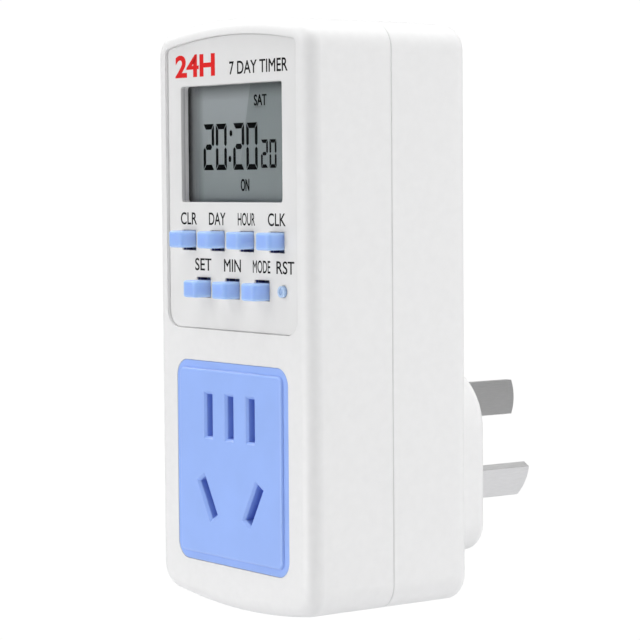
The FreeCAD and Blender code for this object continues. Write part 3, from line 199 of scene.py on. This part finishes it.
def paleBounce(nodes, links, tint, colour):
    # the diffuse light that a piece throws on its neighbours is paler than the piece
    path = nodes.new("ShaderNodeLightPath")
    return colourMix(nodes, links, path.outputs["Is Diffuse Ray"], tint, colour)


# the noise values between which a tint or a ramp runs
noiseSpan = (0.3, 0.7)

# a moulded finish where its own dictionary says nothing; lengths in millimetres
mouldedLook = {
    "cloud": 9.0,
    "spread": 0.02,
    "grain": 0.25,
    "grainDetail": 3.0,
    "relief": 0.12,
    "depth": 0.02,
    "specular": 0.5,
    "metallic": 0.0,
    "ior": 1.46,
    "coat": 0.0,
    "coatRoughness": 0.1,
    "bleed": 0.0,
    "bleedColour": (1.0, 1.0, 1.0),
    "bleedDepth": 1.0,
}


def moulded(name, look):
    # satin moulded plastic: faint cloudiness, and a fine spark-eroded grain
    look = {**mouldedLook, **look}
    material, nodes, links, shader = newMaterial(name)
    place = objectPlace(nodes, links)
    cloud = noise(nodes, links, place, look["cloud"])
    ends = (shade(look["colour"], 1 - look["spread"]), shade(look["colour"], 1 + look["spread"]))
    tint = colourRamp(nodes, links, cloud, zip(noiseSpan, ends))
    # painted shading where a finish asks for it: by depth, and inside a box
    if "paintedDepthShading" in look:
        tint = paintDepthShading(nodes, links, place, tint, look["paintedDepthShading"])
    if "zone" in look:
        tint = paintedShadeBox(nodes, links, tint, look["zone"])
    if "bounce" in look:
        tint = paleBounce(nodes, links, tint, look["bounce"])
    links.new(tint, shader.inputs["Base Color"])
    grain = noise(nodes, links, place, look["grain"], look["grainDetail"])
    edge = softEdge(nodes, look["edge"]) if "edge" in look else None
    relief = bump(nodes, links, grain, look["relief"], look["depth"], edge)
    links.new(relief, shader.inputs["Normal"])
    shader.inputs["Roughness"].default_value = look["roughness"]
    shader.inputs["Specular IOR Level"].default_value = look["specular"]
    shader.inputs["Metallic"].default_value = look["metallic"]
    shader.inputs["IOR"].default_value = look["ior"]
    shader.inputs["Coat Weight"].default_value = look["coat"]
    shader.inputs["Coat Roughness"].default_value = look["coatRoughness"]
    shader.inputs["Subsurface Weight"].default_value = look["bleed"]
    shader.inputs["Subsurface Radius"].default_value = look["bleedColour"]
    shader.inputs["Subsurface Scale"].default_value = look["bleedDepth"] * mm
    return material


# what all metals share; the roughness varies between two shares of its own value
brushedLook = {
    "grain": 0.2,
    "grainDetail": 4.0,
    "darkest": 0.94,
    "smoothest": 0.85,
    "roughest": 1.2,
    "relief": 0.1,
    "depth": 0.01,
    "edge": 0.15,
}


def brushed(name, look):
    # plated or rolled metal, brushed along one axis
    look = {**brushedLook, **look}
    material, nodes, links, shader = newMaterial(name)
    place = objectPlace(nodes, links, scale=look["stretch"])
    streak = noise(nodes, links, place, look["grain"], look["grainDetail"])
    ends = (shade(look["colour"], look["darkest"]), look["colour"])
    links.new(colourRamp(nodes, links, streak, zip(noiseSpan, ends)), shader.inputs["Base Color"])
    rough = nodes.new("ShaderNodeMapRange")
    rough.inputs["To Min"].default_value = look["roughness"] * look["smoothest"]
    rough.inputs["To Max"].default_value = look["roughness"] * look["roughest"]
    links.new(streak, rough.inputs["Value"])
    links.new(rough.outputs["Result"], shader.inputs["Roughness"])
    edge = softEdge(nodes, look["edge"])
    relief = bump(nodes, links, streak, look["relief"], look["depth"], edge)
    links.new(relief, shader.inputs["Normal"])
    shader.inputs["Metallic"].default_value = 1.0
    return material


# painted shade on the walls of the key openings, in the case and in the plate
paintedOpeningShade = (0.08, 0.085, 0.30)
caseOpeningShade = {"centre": (0, -39.75, 37), "half": (18, 0.62, 10), "colour": paintedOpeningShade}
plateOpeningShade = {"centre": (0, -40.66, 37), "half": (18, 0.28, 10), "colour": paintedOpeningShade}
finishes = {
    "white_plastic": {"colour": (0.80, 0.80, 0.80), "roughness": 0.42, "edge": 0.2, "relief": 0.25,
                      "cloud": 1.6, "spread": 0.012, "zone": caseOpeningShade},
    "grey_plate": {"colour": (0.76, 0.76, 0.76), "roughness": 0.45, "edge": 0.25, "relief": 0.2,
                   # painted shade: the plate darker deeper in its openings
                   "paintedDepthShading": {"start": 41.0, "end": 40.0, "colour": (0.42, 0.42, 0.43)},
                   "zone": plateOpeningShade},
    "blue_plastic": {"colour": (0.312, 0.468, 0.90), "roughness": 0.4, "spread": 0.03,
                     "edge": 0.14, "bleed": 0.85, "bleedDepth": 3.0,
                     "bounce": (0.92, 0.93, 0.97),
                     # painted light: the keys paler towards their base, against the shade of their
                     # neighbours
                     "paintedDepthShading": {"start": 44.3, "end": 43.4, "colour": (0.355, 0.515, 1.0)}},
    "panel_plastic": {"colour": (0.32, 0.475, 0.93), "roughness": 0.28, "spread": 0.03,
                      "edge": 0.22, "bounce": (0.34, 0.48, 0.95),
                      # painted shade: the socket slots turn dark blue deeper in
                      "paintedDepthShading": {"start": 41.9, "end": 38.6, "colour": (0.012, 0.06, 0.72)}},
    "reset_plastic": {"colour": (0.40, 0.56, 0.90), "roughness": 0.4, "spread": 0.03, "edge": 0.2,
                      "bleed": 0.6, "bleedDepth": 1.5, "bounce": (0.62, 0.65, 0.72)},
    "zebra_rubber": {"colour": (0.10, 0.10, 0.10), "roughness": 0.8},
    "ivory_plastic": {"colour": (0.72, 0.68, 0.56), "roughness": 0.5},
    "black_plastic": {"colour": (0.02, 0.02, 0.02), "roughness": 0.45},
    "switch_plunger": {"colour": (0.03, 0.03, 0.035), "roughness": 0.5},
    "relay_cover_plastic": {"colour": (0.03, 0.07, 0.24), "roughness": 0.2, "coat": 0.3},
    "earth_insulation": {"colour": (0.18, 0.45, 0.05), "roughness": 0.35},
    "neutral_insulation": {"colour": (0.02, 0.07, 0.5), "roughness": 0.35},
    "live_insulation": {"colour": (0.2, 0.05, 0.02), "roughness": 0.35},
    "film_case": {"colour": (0.75, 0.5, 0.04), "roughness": 0.3},
    "can_sleeve": {"colour": (0.02, 0.025, 0.06), "roughness": 0.25, "coat": 0.4},
    "varistor_lacquer": {"colour": (0.03, 0.08, 0.35), "roughness": 0.3, "coat": 0.5},
    "header_plastic": {"colour": (0.03, 0.03, 0.03), "roughness": 0.5},
    "resistor_enamel": {"colour": (0.55, 0.4, 0.22), "roughness": 0.4, "coat": 0.3},
    "lcd_foil": {"colour": (0.5, 0.52, 0.5), "roughness": 0.35, "metallic": 0.8},
}
metals = {
    "contact_brass": {"colour": (0.78, 0.55, 0.22), "roughness": 0.28, "stretch": (1, 1, 8)},
    "nickel_plate": {"colour": (0.90, 0.90, 0.90), "roughness": 0.34, "stretch": (1, 8, 1)},
    "screw_steel": {"colour": (0.62, 0.62, 0.62), "roughness": 0.3, "stretch": (1, 6, 1)},
    "relay_iron": {"colour": (0.5, 0.5, 0.5), "roughness": 0.35, "stretch": (1, 6, 1)},
    "cell_steel": {"colour": (0.68, 0.68, 0.67), "roughness": 0.2, "stretch": (6, 1, 1)},
    "coil_copper": {"colour": (0.6, 0.22, 0.08), "roughness": 0.3, "stretch": (8, 1, 8)},
}
materials = {name: moulded(name, look) for name, look in finishes.items()}
materials.update({name: brushed(name, look) for name, look in metals.items()})

laminate = {
    "mask": (0.01, 0.12, 0.05),
    "track": (0.03, 0.22, 0.09),
    "trackPitch": 2.4,
    "gap": 0.08,
    "relief": 0.3,
    "depth": 0.03,
    "roughness": 0.3,
}


def laminateMaterial():
    # green mask over copper tracks
    material, nodes, links, shader = newMaterial("board_laminate")
    place = objectPlace(nodes, links)
    tracks = nodes.new("ShaderNodeTexBrick")
    tracks.inputs["Scale"].default_value = 1 / (laminate["trackPitch"] * mm)
    for name, colour in (("Color1", "track"), ("Color2", "track"), ("Mortar", "mask")):
        tracks.inputs[name].default_value = (*laminate[colour], 1)
    tracks.inputs["Mortar Size"].default_value = laminate["gap"]
    swap = nodes.new("ShaderNodeMapping")
    swap.inputs["Rotation"].default_value = (math.radians(90), 0, 0)
    links.new(place, swap.inputs["Vector"])
    links.new(swap.outputs["Vector"], tracks.inputs["Vector"])
    links.new(tracks.outputs["Color"], shader.inputs["Base Color"])
    relief = bump(nodes, links, tracks.outputs["Fac"], laminate["relief"], laminate["depth"])
    links.new(relief, shader.inputs["Normal"])
    shader.inputs["Roughness"].default_value = laminate["roughness"]
    return material


materials["board_laminate"] = laminateMaterial()

windowPane = {"roughness": 0.0, "ior": 1.47, "dust": 0.015, "cloud": 6.0}


def windowMaterial():
    material, nodes, links, shader = newMaterial("clear_window")
    place = objectPlace(nodes, links)
    dust = noise(nodes, links, place, windowPane["cloud"])
    clear = (1.0, 1.0, 1.0)
    ends = (shade(clear, 1 - windowPane["dust"]), clear)
    links.new(colourRamp(nodes, links, dust, zip(noiseSpan, ends)), shader.inputs["Base Color"])
    shader.inputs["Transmission Weight"].default_value = 1.0
    shader.inputs["Roughness"].default_value = windowPane["roughness"]
    shader.inputs["IOR"].default_value = windowPane["ior"]
    return material


materials["clear_window"] = windowMaterial()

# frame is how far the window reaches past the visible display on each side
lcdGlass = {
    "colour": (0.435, 0.495, 0.505),
    # painted glare: its colour, and the slanting edge left of which it lies
    "paintedGlareColour": (0.63, 0.69, 0.71),
    "paintedGlareEdge": ((3.15, 67.0), (-1.55, 47.0)),
    # painted shade of the frame at the display's left and upper edge
    "edgeColour": (0.045, 0.05, 0.052),
    "roughness": 0.35,
    "frame": 1.1,
    "leftFade": 4.4,
    "topFade": 2.6,
    "topShade": 0.4,
    "grain": 0.12,
    "relief": 0.05,
    "depth": 0.01,
}


def paintedGlareZone(nodes, links, split):
    # painted glare: 1 left of a slanting line and near the top, fading downwards to 0
    (topX, topZ), (lowX, lowZ) = lcdGlass["paintedGlareEdge"]
    slope = (topX - lowX) / (topZ - lowZ)
    lean = nodes.new("ShaderNodeMath")
    lean.operation = "MULTIPLY_ADD"
    lean.inputs[1].default_value = slope
    lean.inputs[2].default_value = (topX - slope * topZ) * mm
    links.new(split.outputs["Z"], lean.inputs[0])
    left = nodes.new("ShaderNodeMath")
    left.operation = "LESS_THAN"
    links.new(split.outputs["X"], left.inputs[0])
    links.new(lean.outputs["Value"], left.inputs[1])
    fade = nodes.new("ShaderNodeMapRange")
    fade.interpolation_type = "SMOOTHSTEP"
    fade.inputs["From Min"].default_value = lowZ * mm
    fade.inputs["From Max"].default_value = topZ * mm
    links.new(split.outputs["Z"], fade.inputs["Value"])
    zone = nodes.new("ShaderNodeMath")
    zone.operation = "MULTIPLY"
    links.new(left.outputs["Value"], zone.inputs[0])
    links.new(fade.outputs["Result"], zone.inputs[1])
    return zone.outputs["Value"]


def lcdMaterial():
    # grey-green polariser, with painted shade of its frame towards the left and the upper edge,
    # and a painted glare
    material, nodes, links, shader = newMaterial("lcd_glass")
    low, high = (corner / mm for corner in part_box("display_window"))
    place = objectPlace(nodes, links)
    split = nodes.new("ShaderNodeSeparateXYZ")
    links.new(place, split.inputs["Vector"])
    left, top = low.x + lcdGlass["frame"], high.z - lcdGlass["frame"]
    fades = []
    for axis, edge, reach, least in (("X", left, lcdGlass["leftFade"], 0.0),
                                     ("Z", top, -lcdGlass["topFade"], lcdGlass["topShade"])):
        ramp = nodes.new("ShaderNodeMapRange")
        ramp.inputs["From Min"].default_value = edge * mm
        ramp.inputs["From Max"].default_value = (edge + reach) * mm
        ramp.inputs["To Min"].default_value = least
        links.new(split.outputs[axis], ramp.inputs["Value"])
        fades.append(ramp.outputs["Result"])
    both = nodes.new("ShaderNodeMath")
    both.operation = "MULTIPLY"
    links.new(fades[0], both.inputs[0])
    links.new(fades[1], both.inputs[1])
    shades = []
    for key in ("colour", "paintedGlareColour"):
        shades.append(colourRamp(nodes, links, both.outputs["Value"],
                                 [(0.0, lcdGlass["edgeColour"]), (1.0, lcdGlass[key])]))
    tint = colourMix(nodes, links, paintedGlareZone(nodes, links, split), *shades)
    links.new(tint, shader.inputs["Base Color"])
    grain = noise(nodes, links, place, lcdGlass["grain"])
    relief = bump(nodes, links, grain, lcdGlass["relief"], lcdGlass["depth"])
    links.new(relief, shader.inputs["Normal"])
    shader.inputs["Roughness"].default_value = lcdGlass["roughness"]
    return material


materials["lcd_glass"] = lcdMaterial()
ownFinish = {"socket_panel": "panel_plastic", "reset_button": "reset_plastic"}
for part in frame["record"]["subparts"]:
    node = frame["nodes"][part["node"]]
    node.data.materials.clear()
    node.data.materials.append(materials[ownFinish.get(part["node"], part["material_slot"])])
print(len(materials), "materials made")

inks = {
    "blackInk": {"colour": (0.010, 0.010, 0.010), "roughness": 0.7, "grain": 0.1, "spread": 0.05,
                 "specular": 0.2},
    "redInk": {"colour": (0.70, 0.012, 0.012), "roughness": 0.7, "grain": 0.1, "spread": 0.04,
               "specular": 0.2},
    "segmentInk": {"colour": (0.004, 0.004, 0.005), "roughness": 0.8, "grain": 0.1, "spread": 0.05,
                   "specular": 0.1},
}
for name, look in inks.items():
    materials[name] = moulded(name, look)


def finishPiece(name, shape, material, body="root"):
    # the bmesh becomes an object of its own that rides on a body
    mesh = bpy.data.meshes.new(name)
    shape.to_mesh(mesh)
    shape.free()
    mesh.materials.append(materials[material])
    piece = bpy.data.objects.new(name, mesh)
    bpy.context.scene.collection.objects.link(piece)
    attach(piece, body)


letterSteps = 6
weldDistance = 1e-4


def lettering(words, size, bold):
    # flat letters, centred on the origin and fitted to a width and a height in millimetres;
    # bold grows their outlines, as a share of the letters' height
    curve = bpy.data.curves.new("lettering", "FONT")
    curve.body = words
    curve.resolution_u = letterSteps
    text = bpy.data.objects.new("lettering", curve)
    bpy.context.scene.collection.objects.link(text)
    bpy.context.view_layer.update()
    mesh = bpy.data.meshes.new_from_object(text)
    bpy.data.objects.remove(text)
    shape = bmesh.new()
    shape.from_mesh(mesh)
    bpy.data.meshes.remove(mesh)
    bmesh.ops.remove_doubles(shape, verts=shape.verts, dist=weldDistance)
    rim = bmesh.ops.inset_region(shape, faces=shape.faces[:], thickness=-bold,
                                 use_boundary=True, use_even_offset=True)
    bmesh.ops.delete(shape, geom=rim["faces"], context="FACES")
    corners = [vertex.co for vertex in shape.verts]
    low = Vector((min(corner.x for corner in corners), min(corner.y for corner in corners), 0))
    high = Vector((max(corner.x for corner in corners), max(corner.y for corner in corners), 0))
    bmesh.ops.translate(shape, verts=shape.verts, vec=-(low + high) / 2)
    bmesh.ops.scale(shape, verts=shape.verts, vec=(size[0] * mm / (high.x - low.x),
                                                   size[1] * mm / (high.y - low.y), 1))
    return shape


def thicken(shape, depth):
    # a flat shape that faces forwards gets its thickness, towards the front
    grown = bmesh.ops.extrude_face_region(shape, geom=shape.faces[:])
    moved = [item for item in grown["geom"] if isinstance(item, bmesh.types.BMVert)]
    bmesh.ops.translate(shape, verts=moved, vec=(0, -depth * mm, 0))
    bmesh.ops.recalc_face_normals(shape, faces=shape.faces)


def placeWords(name, look, words, across, level, front, thick, material):
    # the words stand upright on a face whose front is given in metres
    shape = lettering(words, look["size"], look["bold"])
    upright = Matrix.Rotation(math.radians(90), 3, "X")
    bmesh.ops.rotate(shape, verts=shape.verts, cent=(0, 0, 0), matrix=upright)
    bmesh.ops.translate(shape, verts=shape.verts, vec=(across * mm, front, level * mm))
    thicken(shape, thick)
    finishPiece(name, shape, material)


# generic key words over the keys, with their places across in millimetres
legends = {
    "thick": 0.01,
    "upper": {"size": (5.1, 2.15), "bold": 0.012, "level": 44.15},
    "lower": {"size": (5.1, 2.15), "bold": 0.012, "level": 36.25},
    "upperWords": {"clear": ("CLR", -13.3), "day": ("DAY", -4.45), "hour": ("HOUR", 4.35),
                   "clock": ("CLK", 13.2)},
    "lowerWords": {"set": ("SET", -8.9), "minute": ("MIN", 0.05), "mode": ("MODE", 8.7),
                   "reset": ("RST", 15.55)},
}


def printLegends():
    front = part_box("control_faceplate")[0].y
    for row in ("upper", "lower"):
        for key, (words, across) in legends[row + "Words"].items():
            placeWords(key + "Legend", legends[row], words, across, legends[row]["level"], front,
                       legends["thick"], "blackInk")


# two generic headings above the display
headings = {
    "red": {"words": "24H", "across": -10.9, "level": 70.5, "size": (12.4, 3.9), "bold": 0.035,
            "ink": "redInk", "slot": "grey_plate"},
    "black": {"words": "7 DAY TIMER", "across": 8.15, "level": 69.65, "size": (17.0, 2.25),
              "bold": 0.014, "ink": "blackInk", "slot": "black_plastic"},
}


def printHeadings():
    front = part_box("control_faceplate")[0].y
    for name, look in headings.items():
        placeWords(name + "Heading", look, look["words"], look["across"], look["level"], front,
                   legends["thick"], look["ink"])


printLegends()
printHeadings()
print("legends printed")

# a digit's seven bars, named as usual: a top, b and c right, d low, e and f left, g middle
digitBars = {"0": "abcdef", "2": "abged"}
bigDigits = {"wide": 3.3, "tall": 7.95, "flat": 0.95, "upright": 0.72, "gap": 0.1}
smallDigits = {"wide": 1.98, "tall": 4.76, "flat": 0.6, "upright": 0.45, "gap": 0.07}
# slants of the bars' ends, as shares of the bars' own widths
barEnds = {"lean": 0.75, "tip": 0.9, "shoulder": 1.4, "trim": 0.35, "point": 0.45}
# refraction moves everything aside by what the window's thickness seems to shift it
display = {
    "big": [("2", -10.40), ("0", -6.55), ("2", -1.25), ("0", 2.70)],
    "small": [("2", 6.37), ("0", 8.84)],
    "bigLow": 52.48,
    "smallLow": 52.75,
    "dots": [(-3.57, 58.73), (-3.94, 54.35)],
    "dotSize": (0.8, 1.08),
    "dotCorners": 16,
    "thick": 0.04,
    "refraction": 0.8,
    "words": {
        "dayWord": {"words": "SAT", "across": 5.25, "level": 64.15, "size": (3.7, 1.9),
                    "bold": 0.02},
        "stateWord": {"words": "ON", "across": 0.55, "level": 49.9, "size": (2.5, 2.1),
                      "bold": 0.02},
    },
}


def barOutline(bar, look):
    # corners of one bar in a digit whose lower left corner is at 0, 0
    wide, tall, flat = look["wide"], look["tall"], look["flat"]
    upright, gap = look["upright"], look["gap"]
    half = tall / 2
    if bar in "ad":
        lean = flat * barEnds["lean"] + gap
        outline = [(gap, 0), (wide - gap, 0), (wide - lean, flat), (lean, flat)]
    elif bar == "g":
        tip, shoulder = upright * barEnds["tip"], upright * barEnds["shoulder"]
        low, high = half - flat / 2, half + flat / 2
        outline = [(tip, half), (shoulder, low), (wide - shoulder, low), (wide - tip, half),
                   (wide - shoulder, high), (shoulder, high)]
    else:
        trimmed = half - flat * barEnds["trim"] - gap
        outline = [(0, gap * 2), (upright, flat + gap), (upright, trimmed),
                   (upright * barEnds["point"], half - gap), (0, trimmed)]
    if bar in "abf":
        outline = [(x, tall - z) for x, z in reversed(outline)]
    if bar in "bc":
        outline = [(wide - x, z) for x, z in reversed(outline)]
    return outline


def showDigits():
    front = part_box("lcd_panel")[0].y
    shift = display["refraction"]

    def flatFace(shape, outline, across, level):
        shape.faces.new([shape.verts.new(((across + x + shift) * mm, front, (level + z) * mm))
                         for x, z in outline])

    for group, look in (("big", bigDigits), ("small", smallDigits)):
        for order, (digit, across) in enumerate(display[group]):
            shape = bmesh.new()
            left = across - look["wide"] / 2
            for bar in digitBars[digit]:
                flatFace(shape, barOutline(bar, look), left, display[group + "Low"])
            thicken(shape, display["thick"])
            finishPiece(f"{group}Digit{order + 1}", shape, "segmentInk")
    shape = bmesh.new()
    wide, tall = display["dotSize"]
    angles = [step * math.tau / display["dotCorners"] for step in range(display["dotCorners"])]
    ring = [(math.cos(angle) * wide / 2, math.sin(angle) * tall / 2) for angle in angles]
    for across, level in display["dots"]:
        flatFace(shape, ring, across, level)
    thicken(shape, display["thick"])
    finishPiece("colonDots", shape, "segmentInk")
    for name, look in display["words"].items():
        placeWords(name, look, look["words"], look["across"] + shift, look["level"], front,
                   display["thick"], "segmentInk")


showDigits()
print("display set")

# a pale floor under the object that fades into the white backdrop behind it; its level is in
# millimetres, its radius and fade in metres
stage = {
    "level": -120.0,
    "radius": 0.45,
    "segments": 96,
    "roughness": 0.8,
    "nearColour": (0.60, 0.60, 0.61),
    "fadeStart": 0.28,
    "fadeEnd": 0.44,
    "skyLow": 0.1,
    "skyHigh": 0.4,
    "backdrop": 1.02,
}


def layFloor():
    shape = bmesh.new()
    bmesh.ops.create_circle(shape, cap_ends=True, segments=stage["segments"],
                            radius=stage["radius"])
    bmesh.ops.translate(shape, verts=shape.verts, vec=(0, 0, stage["level"] * mm))
    mesh = bpy.data.meshes.new("floor")
    shape.to_mesh(mesh)
    shape.free()
    floor = bpy.data.objects.new("floor", mesh)
    bpy.context.scene.collection.objects.link(floor)
    material, nodes, links, shader = newMaterial("paleFloor")
    place = objectPlace(nodes, links)
    far = nodes.new("ShaderNodeVectorMath")
    far.operation = "LENGTH"
    links.new(place, far.inputs[0])
    fade = nodes.new("ShaderNodeMapRange")
    fade.interpolation_type = "SMOOTHSTEP"
    fade.inputs["From Min"].default_value = stage["fadeStart"]
    fade.inputs["From Max"].default_value = stage["fadeEnd"]
    links.new(far.outputs["Value"], fade.inputs["Value"])
    shader.inputs["Base Color"].default_value = (*stage["nearColour"], 1)
    shader.inputs["Roughness"].default_value = stage["roughness"]
    shader.inputs["Emission Color"].default_value = (1, 1, 1, 1)
    links.new(fade.outputs["Result"], shader.inputs["Emission Strength"])
    floor.data.materials.append(material)


def lightWorld():
    # white to the camera; as a light it runs from one strength below to another above
    world = bpy.data.worlds.new("studio")
    world.use_nodes = True
    bpy.context.scene.world = world
    nodes, links = world.node_tree.nodes, world.node_tree.links
    background = nodes["Background"]
    background.inputs["Color"].default_value = (1, 1, 1, 1)
    direction = nodes.new("ShaderNodeTexCoord")
    split = nodes.new("ShaderNodeSeparateXYZ")
    links.new(direction.outputs["Generated"], split.inputs["Vector"])
    sky = nodes.new("ShaderNodeMapRange")
    sky.inputs["From Min"].default_value = -1
    sky.inputs["To Min"].default_value = stage["skyLow"]
    sky.inputs["To Max"].default_value = stage["skyHigh"]
    links.new(split.outputs["Z"], sky.inputs["Value"])
    seen = nodes.new("ShaderNodeLightPath")
    strength = nodes.new("ShaderNodeMapRange")
    strength.inputs["To Max"].default_value = stage["backdrop"]
    links.new(seen.outputs["Is Camera Ray"], strength.inputs["Value"])
    links.new(sky.outputs["Result"], strength.inputs["To Min"])
    links.new(strength.outputs["Result"], background.inputs["Strength"])


# softboxes: place, aim and size in millimetres, power in watts; one that isn't mirrored gives
# light but shows in no shiny face
softboxes = {
    "overhead": {"place": (0, 0, 700), "aim": (0, -20, 0), "size": (600, 600), "power": 4.7},
    "leftFront": {"place": (-280, -520, 380), "aim": (0, -20, 20), "size": (400, 400),
                  "power": 1.13},
    "right": {"place": (640, -60, 50), "aim": (0, -20, 20), "size": (400, 400), "power": 0.78,
              "mirrored": False},
    "rightBack": {"place": (500, 500, 50), "aim": (0, -20, 20), "size": (400, 400), "power": 2.05,
                  "mirrored": False},
    "highLeft": {"place": (-600, -60, 450), "aim": (0, -20, 20), "size": (260, 260),
                 "power": 0.8},
    "lowFront": {"place": (-80, -380, -60), "aim": (0, -20, -40), "size": (300, 100),
                 "power": 0.42},
}


def hangSoftboxes():
    for name, box in softboxes.items():
        lamp = bpy.data.lights.new(name, "AREA")
        lamp.shape = "RECTANGLE"
        lamp.size, lamp.size_y = (side * mm for side in box["size"])
        lamp.energy = box["power"]
        holder = bpy.data.objects.new(name, lamp)
        holder.location = place = Vector(box["place"]) * mm
        back = place - Vector(box["aim"]) * mm
        holder.rotation_euler = back.to_track_quat("Z", "Y").to_euler()
        holder.visible_glossy = box.get("mirrored", True)
        bpy.context.scene.collection.objects.link(holder)


# a dark card where the window mirrors the room, so that the bright room doesn't veil the
# display; its corners are places on the window's face in millimetres
darkCard = {
    "corners": [(45.0, 20.0), (45.0, 95.0), (-45.0, 95.0), (-45.0, 20.0)],
    "colour": (0.002, 0.002, 0.002),
}


def mirroredPoint(across, level):
    # where the line of sight goes on to after the window's face, over its own length again
    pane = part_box("display_window")[0].y
    eye = bpy.context.scene.camera.matrix_world.translation
    spot = Vector((across * mm, pane, level * mm))
    ray = spot - eye
    return spot + Vector((ray.x, -ray.y, ray.z))


def hangDarkCard():
    shape = bmesh.new()
    corners = [mirroredPoint(across, level) for across, level in darkCard["corners"]]
    shape.faces.new([shape.verts.new(corner) for corner in corners])
    mesh = bpy.data.meshes.new("darkCard")
    shape.to_mesh(mesh)
    shape.free()
    card = bpy.data.objects.new("darkCard", mesh)
    bpy.context.scene.collection.objects.link(card)
    material, nodes, links, shader = newMaterial("darkFelt")
    shader.inputs["Base Color"].default_value = (*darkCard["colour"], 1)
    shader.inputs["Roughness"].default_value = 1.0
    shader.inputs["Specular IOR Level"].default_value = 0.0
    mesh.materials.append(material)
    card.visible_camera = False
    card.visible_diffuse = False
    card.visible_shadow = False


layFloor()
lightWorld()
hangSoftboxes()
hangDarkCard()
print("stage lit")
